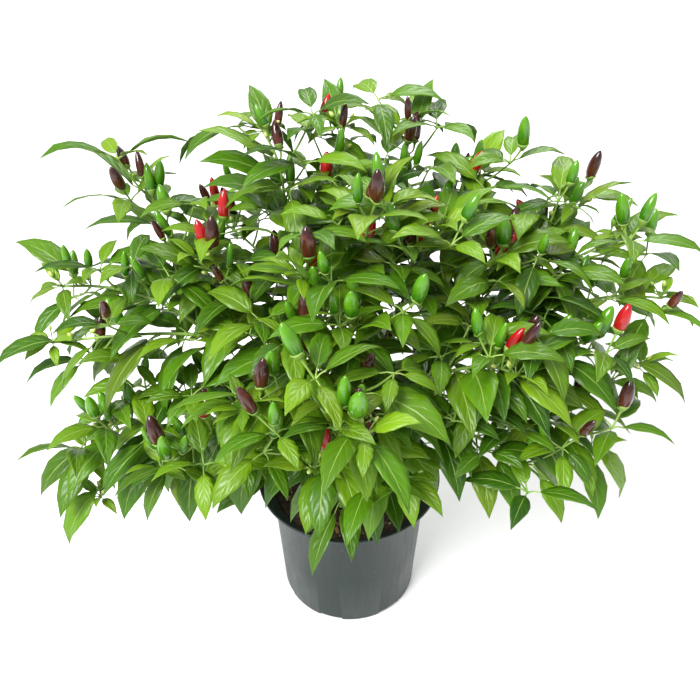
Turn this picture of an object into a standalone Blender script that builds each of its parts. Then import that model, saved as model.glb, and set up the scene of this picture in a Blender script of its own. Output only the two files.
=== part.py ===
# Potted chilli pepper plant: a broad, bushy plant with small upright fruits in a round nursery pot.
# Metres, +Z up. The origin is the middle of the pot's foot, on the surface that it stands on.
#
# The woody frame (trunk and main limbs) grows out of the potting mix, leafy shoots sit on the frame,
# and ripening chillies sit on the shoots. Leaves and green chillies are grown out of the side faces
# of their shoot, so that a shoot is one closed body, as it grew.

import math
import random

import bmesh
import bpy
from mathutils import Matrix, Vector
from mathutils.bvhtree import BVHTree

GAP = 0.0003  # clearance between pieces that touch
SEED = 2

# Pot
POT_HEIGHT = 0.147
RIM_RADIUS = 0.0915
RIM_BAND = 0.016  # height of the flared collar under the rim
LIP = 0.004  # height of the upright lip at the top of the collar
WALL_TOP_RADIUS = 0.0775
BASE_RADIUS = 0.0705
POT_WALL = 0.0018
POT_FLOOR = 0.0068  # height of the floor's upper side
FOOT_HEIGHT = 0.0046  # how far the floor's underside is raised on the foot ring
FOOT_WIDTH = 0.007
FOOT_SLOPE = 0.001  # how much narrower the foot ring is at its bottom
EDGE_ROUND = 0.0012  # size of the bevel along the foot and the lip
POT_SIDES = 48
NOTCHES = 7  # gaps in the foot ring
NOTCH_WIDTH = 0.024
NOTCH_DEPTH = 0.72  # share of the foot's height
NOTCH_TURN = math.radians(10)
DRAIN_HOLES = 7
DRAIN_RADIUS = 0.005
DRAIN_CIRCLE = 0.044

# Potting mix
SOIL_LEVEL = 0.133
SOIL_MOUND = 0.004  # how much higher the surface is at the trunk
MOUND_RADIUS = 0.076
SOIL_RINGS = (0.76, 0.52, 0.30)  # rings of its surface, as shares of its edge
SOIL_ROUGHNESS = 0.0014
SOIL_CROWN = 1.9  # radius of the flat spot that the trunk stands on, in radii of the trunk

# Woody frame
TRUNK_RADIUS = 0.0062
TRUNK_TIP_RADIUS = 0.0034
TRUNK_TOP = 0.335
TRUNK_LEAN = 0.007
TRUNK_BENDS = (4.2, 3.1)  # how often the trunk sways along X and along Y, in radians over its height
ROOT_FLARE = (1.75, 1.15)  # how much wider the trunk is at its two lowest rings
TRUNK_SIDES = 6
TRUNK_STEPS = 9
ROOT_RINGS = (0.010, 0.035)  # height over the soil of the rings between the foot and the first limb
LIMB_RADIUS = 0.0029
LIMB_TIP_RADIUS = 0.0020
LIMB_STEPS = 7
LIMB_ROOT = 0.7  # share of its radius that a limb starts with, to fit on a side of the trunk
LIMB_BEND = ((0.30, 0.30), (0.62, 0.86))  # shares of reach and of lift of the curve's two handles
# azimuth in degrees, height where it leaves the trunk, reach and height of its end
LIMBS = (
    (-2, 0.222, 0.160, 0.318),
    (52, 0.246, 0.130, 0.345),
    (118, 0.230, 0.130, 0.340),
    (178, 0.240, 0.160, 0.315),
    (-128, 0.216, 0.108, 0.300),
    (-62, 0.236, 0.108, 0.298),
)

# Shoots
SHOOT_SIDES = 5
SHOOT_STEPS = 7
SHOOT_RADIUS = 0.0020
SHOOT_TIP_RADIUS = 0.0011
SHOOT_LENGTH = 0.105  # distance that a shoot likes to have between the frame and its tip
SHOOT_START = (0.6, 0.7, 0.35)  # how much it first follows its seat, the way to its tip, and up
SHOOT_HANDLE = 0.35  # length of the curve's handles, as a share of the distance
SHOOT_WANDER = 0.10  # how far the curve strays, as a share of the distance
SHOOT_COLLAR = 0.003  # length of the first straight piece on the frame
SEATS_TRIED = 24
PATHS_TRIED = 8
FACING_WEIGHT = 0.035  # what a seat that faces away costs, in metres of distance
SEAT_SPACING = 0.007  # between two shoots on the frame
SHOOT_ROOM = 0.0012  # how much wider a shoot is tested than it is
STAND_OFF = 0.0025  # how far a petiole's or a stalk's end is from the plane of the face that it leaves
SPIRAL = 2  # each next leaf is this many faces further round, the 2/5 spiral of a pepper shoot
# azimuth in degrees, reach, height and pitch in degrees of each tip, and its dark, red and green fruits
SHOOTS = (
    # crown
    (127, 0.125, 0.462, 50, 1, 0, 4),
    (64, 0.130, 0.465, 55, 2, 0, 4),
    (92, 0.118, 0.460, 50, 0, 0, 3),
    (152, 0.215, 0.412, 30, 1, 0, 4),
    (40, 0.158, 0.420, 40, 0, 0, 4),
    (-126, 0.060, 0.400, 40, 1, 1, 2),
    (0, 0.072, 0.412, 45, 0, 1, 3),
    (30, 0.022, 0.432, 60, 1, 1, 0),
    (178, 0.125, 0.385, 25, 2, 1, 1),
    (8, 0.145, 0.385, 25, 1, 1, 1),
    (-85, 0.066, 0.366, 15, 1, 0, 1),
    # right side
    (21, 0.218, 0.402, 30, 0, 0, 3),
    (13, 0.248, 0.382, 15, 0, 0, 3),
    (0, 0.268, 0.352, 0, 0, 0, 1),
    (-7, 0.252, 0.300, -30, 1, 0, 2),
    (-17, 0.222, 0.236, -55, 0, 0, 2),
    (-30, 0.188, 0.232, -50, 1, 0, 1),
    (-34, 0.156, 0.335, -10, 1, 0, 1),
    # left side
    (173, 0.258, 0.345, 10, 0, 0, 3),
    (-176, 0.256, 0.318, -20, 0, 0, 1),
    (-166, 0.238, 0.228, -50, 0, 0, 2),
    (-159, 0.235, 0.198, -55, 0, 0, 1),
    (-146, 0.185, 0.250, -45, 1, 1, 2),
    # front
    (-120, 0.150, 0.335, -15, 2, 1, 1),
    (-86, 0.168, 0.345, 0, 1, 0, 2),
    (-101, 0.142, 0.285, -25, 0, 0, 1),
    (-70, 0.132, 0.262, -35, 0, 0, 0),
    # low down, round the trunk
    (-95, 0.085, 0.186, -15, 0, 0, 0),
    (-58, 0.078, 0.184, -15, 0, 0, 0),
    (-140, 0.090, 0.190, -15, 0, 0, 0),
    (-20, 0.076, 0.200, -10, 0, 0, 0),
    (172, 0.090, 0.205, -15, 0, 0, 0),
    (80, 0.090, 0.195, -20, 0, 0, 0),
    # back
    (26, 0.205, 0.300, -20, 0, 0, 1),
    (48, 0.182, 0.372, 10, 0, 0, 2),
    (92, 0.176, 0.282, -30, 0, 0, 1),
    (96, 0.172, 0.382, 15, 0, 0, 2),
    (136, 0.188, 0.368, 10, 0, 0, 2),
    (157, 0.215, 0.300, -25, 0, 0, 1),
)

# Leaves
LEAF_LENGTH = 0.066
LEAF_SPREAD = 0.35  # how much the length of leaves varies along and between shoots
LEAF_WIDTH = 0.44  # share of its length
LEAF_THICKNESS = 0.0009
LEAF_FOLD = math.radians(24)
LEAF_SHAPE = ((0.34, 1.0), (0.70, 0.60))  # place along the blade, and share of the full half width
LEAF_DROOP = (0.0, -0.15, -0.44, -0.78)  # bend of the petiole and of the blade's three stretches, in radians
LEAF_ROOM = 0.0007  # how much thicker a leaf is tested than it is
PETIOLE = 0.016
PETIOLE_RADIUS = 0.0006
PETIOLE_BEND = (0.35, 0.75)  # how much it follows the stem's face and the leaf's own way
LEAF_TRIES = 60
LEAF_SHRINK = 0.35  # how much shorter the last try is
LEAF_SWING = (0.25, 1.1)  # radians that a heading may stray, and how much more on the last try
LEAF_ROLL = 0.45
LEAF_TAPER = (1.12, 0.36)  # length at a shoot's foot, and how much less it is at the shoot's end
END_PUSH = 4.0  # how strongly the leaf at the end of a shoot points outward
SIDE_PUSH = (0.4, 0.6)  # the same at a shoot's foot, and what is added towards its end
END_PITCH = (1.0, 0.2, 0.55)  # share of the shoot's pitch, its offset and its range, at the end
SIDE_PITCH = (0.4, -0.35, 1.0)  # the same along the shoot
SECOND_LEAF = 0.6  # share of the nodes that bear two leaves

# Chillies
CHILLI_LENGTH = 0.029
CHILLI_RADIUS = 0.0060
CHILLI_SIDES = 6
STALK = 0.017
STALK_RADIUS = 0.0008
STALK_START = 0.006  # how far a stalk goes out from the shoot before it turns up
STALK_RISE = 0.8  # share of its length that lies along the chilli's axis
STALK_NECK = 1.4  # how much thicker the stalk of a green chilli is at the calyx
STALK_BEND = (0.85, 0.25)  # where a stalk turns up: shares of its start and of its length
FRUIT_TRIES = 14
FIRST_FRUIT_LEVEL = 4  # fruits sit on the shoot from this ring on
FACE_CHANCE = 0.35  # how much chance there is in which face bears a fruit
RIPE_SIZE = (0.82, 1.12)
GREEN_SIZE = (0.7, 1.0)
FRUIT_LEAN = 0.45
FRUIT_SWAY = 0.25
GREEN_SHAPE = ((0.24, 1.12), (0.66, 0.86))  # place along a green chilli, and share of its radius
RIPE_SHAPE = ((0.0, 0.34), (0.22, 1.0), (0.62, 0.88), (0.88, 0.42))  # the same for a ripening one
CHILLI_ROOM = 0.0012  # how much wider a chilli is tested than it is
CHILLI_NODES = 18  # the most that are pieces of their own: ripe ones first, then dark ones

# The canopy's outline
HALF_WIDTH = 0.302
HALF_DEPTH = 0.214
CANOPY_TOP = 0.498
LOWEST_LEAF = 0.120
HEADSPACE_CLEARANCE = 0.004  # leaves over the pot stay this far above its rim
OVER_POT = 0.125  # radius within which they do

COLOURS = {
    "pot_plastic": ((0.055, 0.078, 0.080), 0.42),
    "potting_mix": ((0.060, 0.035, 0.020), 0.95),
    "bark": ((0.150, 0.190, 0.060), 0.75),
    "foliage": ((0.070, 0.190, 0.025), 0.45),
    "dark_fruit": ((0.045, 0.012, 0.014), 0.25),
    "red_fruit": ((0.420, 0.012, 0.012), 0.22),
    "green_fruit": ((0.120, 0.300, 0.030), 0.28),
}

UP = Vector((0, 0, 1))
rng = random.Random(SEED)


def clear_scene():
    for item in list(bpy.data.objects):
        bpy.data.objects.remove(item, do_unlink=True)


def material(slot):
    found = bpy.data.materials.get(slot)
    if found:
        return found
    colour, roughness = COLOURS[slot]
    made = bpy.data.materials.new(slot)
    made.use_nodes = True
    surface = made.node_tree.nodes["Principled BSDF"]
    surface.inputs["Base Color"].default_value = (*colour, 1)
    surface.inputs["Roughness"].default_value = roughness
    surface.inputs["Metallic"].default_value = 0
    return made


def add_object(name, bm, slot):
    mesh = bpy.data.meshes.new(name)
    bm.normal_update()
    bm.to_mesh(mesh)
    bm.free()
    mesh.shade_smooth()
    mesh.set_sharp_from_angle(angle=math.radians(35))
    mesh.materials.append(material(slot))
    item = bpy.data.objects.new(name, mesh)
    bpy.context.scene.collection.objects.link(item)
    return item


def outward(azimuth):
    """Level direction at an azimuth in radians."""
    return Vector((math.cos(azimuth), math.sin(azimuth), 0))


def tip_place(azimuth, reach, height):
    return outward(math.radians(azimuth)) * reach + UP * height


def bezier(start, handle_a, handle_b, end, steps):
    points = []
    for step in range(steps + 1):
        t = step / steps
        s = 1 - t
        points.append(start * s**3 + handle_a * 3 * s * s * t + handle_b * 3 * s * t * t + end * t**3)
    return points


# ---- what is already in place, for keeping pieces clear of each other ----


class Clearance:
    """Holds the solids placed so far and tells whether a new one would touch them."""

    def __init__(self):
        self.solids = []

    def shape(self, points, faces):
        low = Vector(map(min, zip(*points)))
        high = Vector(map(max, zip(*points)))
        return low, high, BVHTree.FromPolygons(points, faces)

    def add(self, points, faces):
        self.solids.append(self.shape(points, faces))

    def is_clear(self, points, faces):
        low, high, tree = self.shape(points, faces)
        for other_low, other_high, other in self.solids:
            if any(low[i] > other_high[i] or high[i] < other_low[i] for i in range(3)):
                continue
            if tree.overlap(other):
                return False
        return True

    def add_mesh(self, bm):
        bm.verts.index_update()
        faces = [[v.index for v in face.verts] for face in bm.faces]
        self.add([v.co.copy() for v in bm.verts], faces)


clearance = Clearance()


# ---- growing ----


def ring_round(centre, ahead, across, radius, sides):
    beside = ahead.cross(across)
    turns = (2 * math.pi * i / sides for i in range(sides))
    return [centre + (across * math.cos(a) + beside * math.sin(a)) * radius for a in turns]


def tube_rings(points, radii, sides, across):
    """Rings square to a path, turned as little as possible from one to the next."""
    rings = []
    for index, point in enumerate(points):
        ahead = (points[min(index + 1, len(points) - 1)] - points[max(index - 1, 0)]).normalized()
        across = (across - ahead * across.dot(ahead)).normalized()
        rings.append(ring_round(point, ahead, across, radii[index], sides))
    return rings


def ring_faces(count, sides, closed_start=True, closed_end=True):
    """Faces of a tube whose corners are numbered ring by ring."""
    faces = []
    for k in range(count - 1):
        for j in range(sides):
            a, b = k * sides + j, k * sides + (j + 1) % sides
            faces.append((a, b, b + sides, a + sides))
    if closed_start:
        faces.append(tuple(range(sides - 1, -1, -1)))
    if closed_end:
        faces.append(tuple(range((count - 1) * sides, count * sides)))
    return faces


def grow_tube(rings):
    """A closed tube through rings. Gives its bmesh and walls[k][j], the side faces after ring k."""
    bm = bmesh.new()
    corners = [[bm.verts.new(place) for place in ring] for ring in rings]
    sides = len(rings[0])
    bm.faces.new(reversed(corners[0]))
    bm.faces.new(corners[-1])
    walls = []
    for near, far in zip(corners, corners[1:]):
        pairs = [(j, (j + 1) % sides) for j in range(sides)]
        walls.append([bm.faces.new((near[a], near[b], far[b], far[a])) for a, b in pairs])
    bm.normal_update()
    return bm, walls


def carry_out(bm, face, rings, tip=None):
    """Replaces a four-sided face by rings of four corners that lead to a tip, or to a flat end."""
    corners = list(face.verts)
    bm.faces.remove(face)
    shifts = range(4)
    turn = min(shifts, key=lambda s: sum((rings[0][(j + s) % 4] - corners[j].co).length for j in shifts))
    grown = []
    for ring in rings:
        made = [bm.verts.new(ring[(j + turn) % 4]) for j in range(4)]
        for a, b in ((0, 1), (1, 2), (2, 3), (3, 0)):
            grown.append(bm.faces.new((corners[a], corners[b], made[b], made[a])))
        corners = made
    if tip is None:
        grown.append(bm.faces.new(corners))
        return grown
    end = bm.verts.new(tip)
    for a, b in ((0, 1), (1, 2), (2, 3), (3, 0)):
        bm.faces.new((corners[a], corners[b], end))
    return end


def four_ring(centre, ahead, up, half_width, half_height, lift=0.0):
    """Right, top, left and bottom corner of a cross section, with its sides lifted by the fold."""
    side = up.cross(ahead).normalized()
    up = ahead.cross(side).normalized()
    return [
        centre + side * half_width + up * lift,
        centre + up * half_height,
        centre - side * half_width + up * lift,
        centre - up * half_height,
    ]


def root_ring(face, ahead, up, radius):
    """The ring on a stem's face that a limb, a petiole or a stalk starts from, turned as its next ring is."""
    normal = face.normal
    side = up.cross(ahead).normalized()
    flat_side = side - normal * side.dot(normal)
    if flat_side.length < 0.3:
        flat_side = (up - normal * up.dot(normal)).cross(normal)
    return four_ring(face.calc_center_median(), normal, normal.cross(flat_side), radius, radius)


def organ_shape(rings, tip):
    """Corners and faces of a grown organ, for testing it before it is grown."""
    points = [corner for ring in rings for corner in ring] + [tip]
    sides = len(rings[0])
    faces = ring_faces(len(rings), sides, closed_end=False)
    last = (len(rings) - 1) * sides
    faces += [(last + j, last + (j + 1) % sides, len(points) - 1) for j in range(sides)]
    return points, faces


def level_way(face):
    """Level direction from the plant's axis out to a face."""
    centre = face.calc_center_median()
    return Vector((centre.x, centre.y, 0)).normalized()


def lowest_allowed(point):
    over_pot = point.xy.length < OVER_POT
    return POT_HEIGHT + HEADSPACE_CLEARANCE if over_pot else LOWEST_LEAF


def skip_root(shape):
    """The part of a grown organ that stands clear of the stem that it grows from."""
    rings, tip = shape
    return rings[1:], tip


def lift_root(shape, face):
    """A grown organ whose root is lifted just off its stem, so that only another touch is found."""
    rings, tip = shape
    return [[corner + face.normal * GAP for corner in rings[0]], *rings[1:]], tip


def stands_off(shape, face):
    """Whether a grown organ leaves the face that it starts from steeply enough to stay clear of it."""
    base = face.calc_center_median()
    return all((corner - base).dot(face.normal) > STAND_OFF for corner in shape[0][1])


def inside_canopy(points):
    return all(
        abs(p.x) < HALF_WIDTH and abs(p.y) < HALF_DEPTH and lowest_allowed(p) < p.z < CANOPY_TOP
        for p in points
    )


# ---- pot and potting mix ----


def turned(profile, sides):
    """Turns a profile of (radius, height) about Z. Points on the axis become poles."""
    bm = bmesh.new()
    verts = [bm.verts.new((radius, 0, height)) for radius, height in profile]
    edges = [bm.edges.new(pair) for pair in zip(verts, verts[1:])]
    bmesh.ops.spin(
        bm, geom=verts + edges, cent=(0, 0, 0), axis=(0, 0, 1), angle=2 * math.pi, steps=sides, use_merge=True
    )
    bmesh.ops.remove_doubles(bm, verts=bm.verts, dist=1e-6)
    bmesh.ops.recalc_face_normals(bm, faces=bm.faces)
    return bm


def make_pot():
    shelf = POT_HEIGHT - RIM_BAND
    base_wall = BASE_RADIUS - POT_WALL
    outer = [
        (0, FOOT_HEIGHT),
        (BASE_RADIUS - FOOT_WIDTH, FOOT_HEIGHT),
        (BASE_RADIUS - FOOT_WIDTH + FOOT_SLOPE, 0),
        (BASE_RADIUS - EDGE_ROUND, 0),
        (BASE_RADIUS, EDGE_ROUND),
        (WALL_TOP_RADIUS, shelf),
        (RIM_RADIUS - EDGE_ROUND, POT_HEIGHT - LIP),
        (RIM_RADIUS, POT_HEIGHT - LIP + EDGE_ROUND),
        (RIM_RADIUS, POT_HEIGHT - EDGE_ROUND / 2),
        (RIM_RADIUS - EDGE_ROUND / 2, POT_HEIGHT),
    ]
    inner = [
        (RIM_RADIUS - POT_WALL, POT_HEIGHT),
        (RIM_RADIUS - POT_WALL, POT_HEIGHT - LIP + EDGE_ROUND),
        (WALL_TOP_RADIUS - POT_WALL, shelf + EDGE_ROUND),
        (base_wall, POT_FLOOR + POT_WALL),
        (base_wall - POT_WALL, POT_FLOOR),
        (0, POT_FLOOR),
    ]
    pot = add_object("pot", turned(outer + inner, POT_SIDES), "pot_plastic")

    cutters = bmesh.new()
    for index in range(NOTCHES):
        spin = Matrix.Rotation(2 * math.pi * (index + 0.5) / NOTCHES - math.pi / 2 + NOTCH_TURN, 4, "Z")
        size = Matrix.Diagonal((FOOT_WIDTH * 2.4, NOTCH_WIDTH, 2 * FOOT_HEIGHT * NOTCH_DEPTH, 1))
        place = Matrix.Translation((BASE_RADIUS - FOOT_WIDTH / 2, 0, 0))
        bmesh.ops.create_cube(cutters, size=1, matrix=spin @ place @ size)
    for index in range(DRAIN_HOLES):
        spin = Matrix.Rotation(2 * math.pi * index / DRAIN_HOLES - math.pi / 2, 4, "Z")
        place = Matrix.Translation((DRAIN_CIRCLE, 0, POT_FLOOR / 2))
        bmesh.ops.create_cone(
            cutters,
            cap_ends=True,
            segments=12,
            radius1=DRAIN_RADIUS,
            radius2=DRAIN_RADIUS,
            depth=4 * POT_FLOOR,
            matrix=spin @ place,
        )
    cutter = add_object("pot_cutouts", cutters, "pot_plastic")
    cutter.hide_render = True
    cutter.display_type = "WIRE"
    cut = pot.modifiers.new("Foot notches and drain holes", "BOOLEAN")
    cut.operation = "DIFFERENCE"
    cut.solver = "EXACT"
    cut.object = cutter

    whole = bmesh.new()
    whole.from_mesh(pot.data)
    clearance.add_mesh(whole)
    whole.free()


def soil_height(radius):
    """Height of the potting mix's surface without its lumps."""
    return SOIL_LEVEL + SOIL_MOUND * max(0.0, 1 - radius / MOUND_RADIUS) ** 1.5


def make_potting_mix():
    base_wall = BASE_RADIUS - POT_WALL
    wall_height = POT_HEIGHT - RIM_BAND + EDGE_ROUND - POT_FLOOR - POT_WALL
    wall_run = (WALL_TOP_RADIUS - BASE_RADIUS) / wall_height
    edge = base_wall + (SOIL_LEVEL - POT_FLOOR - POT_WALL) * wall_run - 2 * GAP
    profile = [
        (0, POT_FLOOR + GAP),
        (base_wall - 2 * POT_WALL, POT_FLOOR + GAP),
        (base_wall - 2 * GAP, POT_FLOOR + 2 * POT_WALL),
        (edge, SOIL_LEVEL - 0.001),
        (edge - 0.002, SOIL_LEVEL),
    ]
    for share in SOIL_RINGS:
        profile.append((edge * share, soil_height(edge * share)))
    crown = TRUNK_RADIUS * SOIL_CROWN
    profile += [(crown, soil_height(crown)), (0, soil_height(crown))]
    bm = turned(profile, POT_SIDES)
    for vert in bm.verts:
        radius = vert.co.xy.length
        if vert.co.z > SOIL_LEVEL - 0.0005 and crown * 1.2 < radius < edge - 0.004:
            vert.co.z += rng.uniform(-1, 1) * SOIL_ROUGHNESS
    clearance.add_mesh(bm)
    add_object("potting_mix", bm, "potting_mix")
    return soil_height(crown) + GAP


# ---- woody frame ----


def make_main_stem(foot):
    """The trunk with its limbs. Gives the faces that shoots can sit on."""
    heights = [foot] + [foot + rise for rise in ROOT_RINGS]
    first = min(row[1] for row in LIMBS) - 0.008
    heights += [first + (TRUNK_TOP - first) * i / TRUNK_STEPS for i in range(TRUNK_STEPS + 1)]
    points, radii = [], []
    for height in heights:
        t = (height - foot) / (TRUNK_TOP - foot)
        lean = TRUNK_LEAN if height > foot + 0.02 else 0
        sway_x, sway_y = (lean * math.sin(t * bends) for bends in TRUNK_BENDS)
        points.append(Vector((sway_x, sway_y, height)))
        radii.append(TRUNK_RADIUS + (TRUNK_TIP_RADIUS - TRUNK_RADIUS) * t)
    for index, flare in enumerate(ROOT_FLARE):
        radii[index] *= flare
    bm, walls = grow_tube(tube_rings(points, radii, TRUNK_SIDES, outward(math.radians(-2))))

    seats = []
    used = set()
    for azimuth, leave, reach, height in LIMBS:
        direction = outward(math.radians(azimuth))
        level = min(range(3, len(walls)), key=lambda k: abs((heights[k] + heights[k + 1]) / 2 - leave))
        free = [side for side in range(TRUNK_SIDES) if (level, side) not in used]
        side = max(free, key=lambda j: walls[level][j].normal.dot(direction))
        face = walls[level][side]
        used.add((level, side))
        start = face.calc_center_median()
        end = tip_place(azimuth, reach, height)
        lift = end.z - start.z
        handles = [start + direction * reach * out + UP * lift * rise for out, rise in LIMB_BEND]
        path = bezier(start, *handles, end, LIMB_STEPS)
        rings = [root_ring(face, path[1] - path[0], UP, LIMB_RADIUS * LIMB_ROOT)]
        for index in range(1, len(path)):
            ahead = (path[min(index + 1, LIMB_STEPS)] - path[index - 1]).normalized()
            radius = LIMB_RADIUS + (LIMB_TIP_RADIUS - LIMB_RADIUS) * index / LIMB_STEPS
            rings.append(four_ring(path[index], ahead, UP, radius, radius))
        grown = carry_out(bm, face, rings)
        seats += grown[8:-1]
    for level in range(5, len(walls)):
        seats += [walls[level][j] for j in range(TRUNK_SIDES) if (level, j) not in used]
    bm.normal_update()
    clearance.add_mesh(bm)
    seats = [(f.calc_center_median(), f.normal.copy()) for f in seats]
    add_object("main_stem", bm, "bark")
    return seats


# ---- shoots ----


def shoot_path(seat, normal, tip, pitch):
    level = Vector((tip.x, tip.y, 0)).normalized()
    last = level * math.cos(pitch) + UP * math.sin(pitch)
    start = seat + normal * 2 * GAP
    length = (tip - start).length
    off, ahead, lift = SHOOT_START
    first = (normal * off + (tip - start).normalized() * ahead + UP * lift).normalized()
    wander = Vector([rng.uniform(-1, 1) for _ in range(3)]) * length * SHOOT_WANDER
    handle = length * SHOOT_HANDLE
    points = bezier(start, start + first * handle, tip - last * handle + wander, tip, SHOOT_STEPS)
    points.insert(1, start + normal * SHOOT_COLLAR)
    return points


def shoot_radii(points, grow=0.0):
    last = len(points) - 1
    return [SHOOT_RADIUS + (SHOOT_TIP_RADIUS - SHOOT_RADIUS) * i / last + grow for i in range(last + 1)]


def make_stem(row, seats):
    """Finds a seat on the frame and a clear way from it to the shoot's tip."""
    tip = tip_place(*row[:3])
    pitch = math.radians(row[3])

    def cost(seat):
        way = tip - seat[0]
        facing = seat[1].dot((way.normalized() + UP * 0.4).normalized())
        return abs(way.length - SHOOT_LENGTH) + FACING_WEIGHT * (1 - facing)

    for seat in sorted(seats, key=cost)[:SEATS_TRIED]:
        for _ in range(PATHS_TRIED):
            points = shoot_path(seat[0], seat[1], tip, pitch)
            across = (points[1] - points[0]).orthogonal()
            fat = tube_rings(points, shoot_radii(points, SHOOT_ROOM), SHOOT_SIDES, across)
            flat = [corner for ring in fat[2:] for corner in ring]
            if not clearance.is_clear(flat, ring_faces(len(fat) - 2, SHOOT_SIDES)):
                continue
            thin = tube_rings(points, shoot_radii(points), SHOOT_SIDES, across)
            flat = [corner for ring in thin for corner in ring]
            if not clearance.is_clear(flat, ring_faces(len(thin), SHOOT_SIDES)):
                continue
            near = [s for s in seats if (s[0] - seat[0]).length < SEAT_SPACING]
            for other in near:
                seats.remove(other)
            bm, walls = grow_tube(thin)
            clearance.add_mesh(bm)
            return bm, walls
    raise RuntimeError(f"no room for the shoot {row}")


def leaf_rings(face, length, heading, pitch, roll, grow=0.0):
    """Rings and tip of a leaf that leaves a stem's face at a heading and droops along its blade."""
    level = outward(heading)
    ways = [level * math.cos(pitch + droop) + UP * math.sin(pitch + droop) for droop in LEAF_DROOP]

    def upright(ahead):
        return Matrix.Rotation(roll, 3, ahead) @ (UP - ahead * UP.dot(ahead)).normalized()

    base = face.calc_center_median()
    petiole = PETIOLE * length / LEAF_LENGTH
    off, on = PETIOLE_BEND
    points = [base + (face.normal * off + ways[0] * on).normalized() * petiole]
    shares = [0.0] + [place for place, _ in LEAF_SHAPE] + [1.0]
    for index in range(3):
        points.append(points[-1] + ways[index + 1] * length * (shares[index + 1] - shares[index]))
    widths = [PETIOLE_RADIUS * 1.3] + [length * LEAF_WIDTH / 2 * share for _, share in LEAF_SHAPE]
    rings = []
    for index in range(3):
        behind = points[index - 1] if index else base
        ahead = (points[index + 1] - behind).normalized()
        half = widths[index] + grow
        thick = LEAF_THICKNESS / 2 + grow
        fold = LEAF_FOLD if index else 0.0
        up = upright(ahead)
        rings.append(four_ring(points[index], ahead, up, half * math.cos(fold), thick, half * math.sin(fold)))
    ahead = (points[1] - base).normalized()
    return [root_ring(face, ahead, upright(ahead), PETIOLE_RADIUS), *rings], points[-1]


def fruit_path(face, size, lean):
    """Start and axis of a chilli that stands on a stalk from a stem's face, and its neck and length."""
    base = face.calc_center_median()
    axis = (UP + lean).normalized()
    neck = base + face.normal * STALK_START + axis * STALK * size * STALK_RISE
    return base, axis, neck, CHILLI_LENGTH * size


def green_fruit_rings(face, size, lean, grow=0.0):
    base, axis, neck, length = fruit_path(face, size, lean)
    up = axis.orthogonal().normalized()
    rings = [root_ring(face, neck - base, up, PETIOLE_RADIUS)]
    stalk = STALK_RADIUS * STALK_NECK + grow
    rings.append(four_ring(neck, axis, up, stalk, stalk))
    for share, width in GREEN_SHAPE:
        radius = CHILLI_RADIUS * size * width + grow
        rings.append(four_ring(neck + axis * length * share, axis, up, radius, radius))
    return rings, neck + axis * length


def chilli_rings(face, size, lean):
    """Rings and tip of a chilli that is a piece of its own, with its stalk and calyx."""
    base, axis, neck, length = fruit_path(face, size, lean)
    start = base + face.normal * GAP * 1.5
    off, rise = STALK_BEND
    bend = base + face.normal * STALK_START * off + axis * STALK * size * rise
    radius = CHILLI_RADIUS * size
    first = face.normal.orthogonal().normalized()
    rings = [ring_round(start, face.normal, first, STALK_RADIUS, CHILLI_SIDES)]
    ahead = (neck - start).normalized()
    first = (first - ahead * first.dot(ahead)).normalized()
    rings.append(ring_round(bend, ahead, first, STALK_RADIUS, CHILLI_SIDES))
    across = (first - axis * first.dot(axis)).normalized()
    for share, width in RIPE_SHAPE:
        rings.append(ring_round(neck + axis * length * share, axis, across, radius * width, CHILLI_SIDES))
    return rings, neck + axis * length


def grow_fruits(bm, walls, row, own_chillies):
    """Green fruits grown out of the shoot, and the places of the ripening ones that sit on it."""
    free = [face for level in walls[FIRST_FRUIT_LEVEL:] for face in level]
    wanted = ["dark_fruit"] * row[4] + ["red_fruit"] * row[5] + ["green_fruit"] * row[6]
    for slot in wanted:
        faces = sorted(free, key=lambda f: -f.normal.z + rng.uniform(-FACE_CHANCE, FACE_CHANCE))
        for face in faces[:FRUIT_TRIES]:
            size = rng.uniform(*(GREEN_SIZE if slot == "green_fruit" else RIPE_SIZE))
            lean = level_way(face) * rng.uniform(0.0, FRUIT_LEAN)
            lean += Vector((rng.uniform(-1, 1), rng.uniform(-1, 1), 0)) * FRUIT_SWAY
            points, faces_of = organ_shape(*skip_root(green_fruit_rings(face, size, lean, CHILLI_ROOM)))
            if not inside_canopy(points) or not clearance.is_clear(points, faces_of):
                continue
            own = slot != "green_fruit" and len(own_chillies) < CHILLI_NODES
            shape = chilli_rings(face, size, lean) if own else green_fruit_rings(face, size, lean)
            points, faces_of = organ_shape(*(shape if own else lift_root(shape, face)))
            if not (own or stands_off(shape, face)) or not clearance.is_clear(points, faces_of):
                continue
            clearance.add(points, faces_of)
            free.remove(face)
            if own:
                own_chillies.append((slot, shape))
            else:
                carry_out(bm, face, *shape)
            break


def grow_leaf(bm, face, length, heading, pitches, tips):
    """Grows one leaf where there is room for it, trying other headings and shorter blades."""
    for attempt in range(LEAF_TRIES):
        loose = attempt / LEAF_TRIES
        shape = (
            length * (1 - LEAF_SHRINK * loose),
            heading + rng.uniform(-1, 1) * (LEAF_SWING[0] + LEAF_SWING[1] * loose),
            rng.uniform(*pitches),
            rng.uniform(-LEAF_ROLL, LEAF_ROLL),
        )
        points, faces = organ_shape(*skip_root(leaf_rings(face, *shape, LEAF_ROOM)))
        if not inside_canopy(points) or not clearance.is_clear(points, faces):
            continue
        grown = leaf_rings(face, *shape)
        points, faces = organ_shape(*lift_root(grown, face))
        if not stands_off(grown, face) or not clearance.is_clear(points, faces):
            continue
        clearance.add(points, faces)
        tips.append(carry_out(bm, face, *grown))
        return


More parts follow.
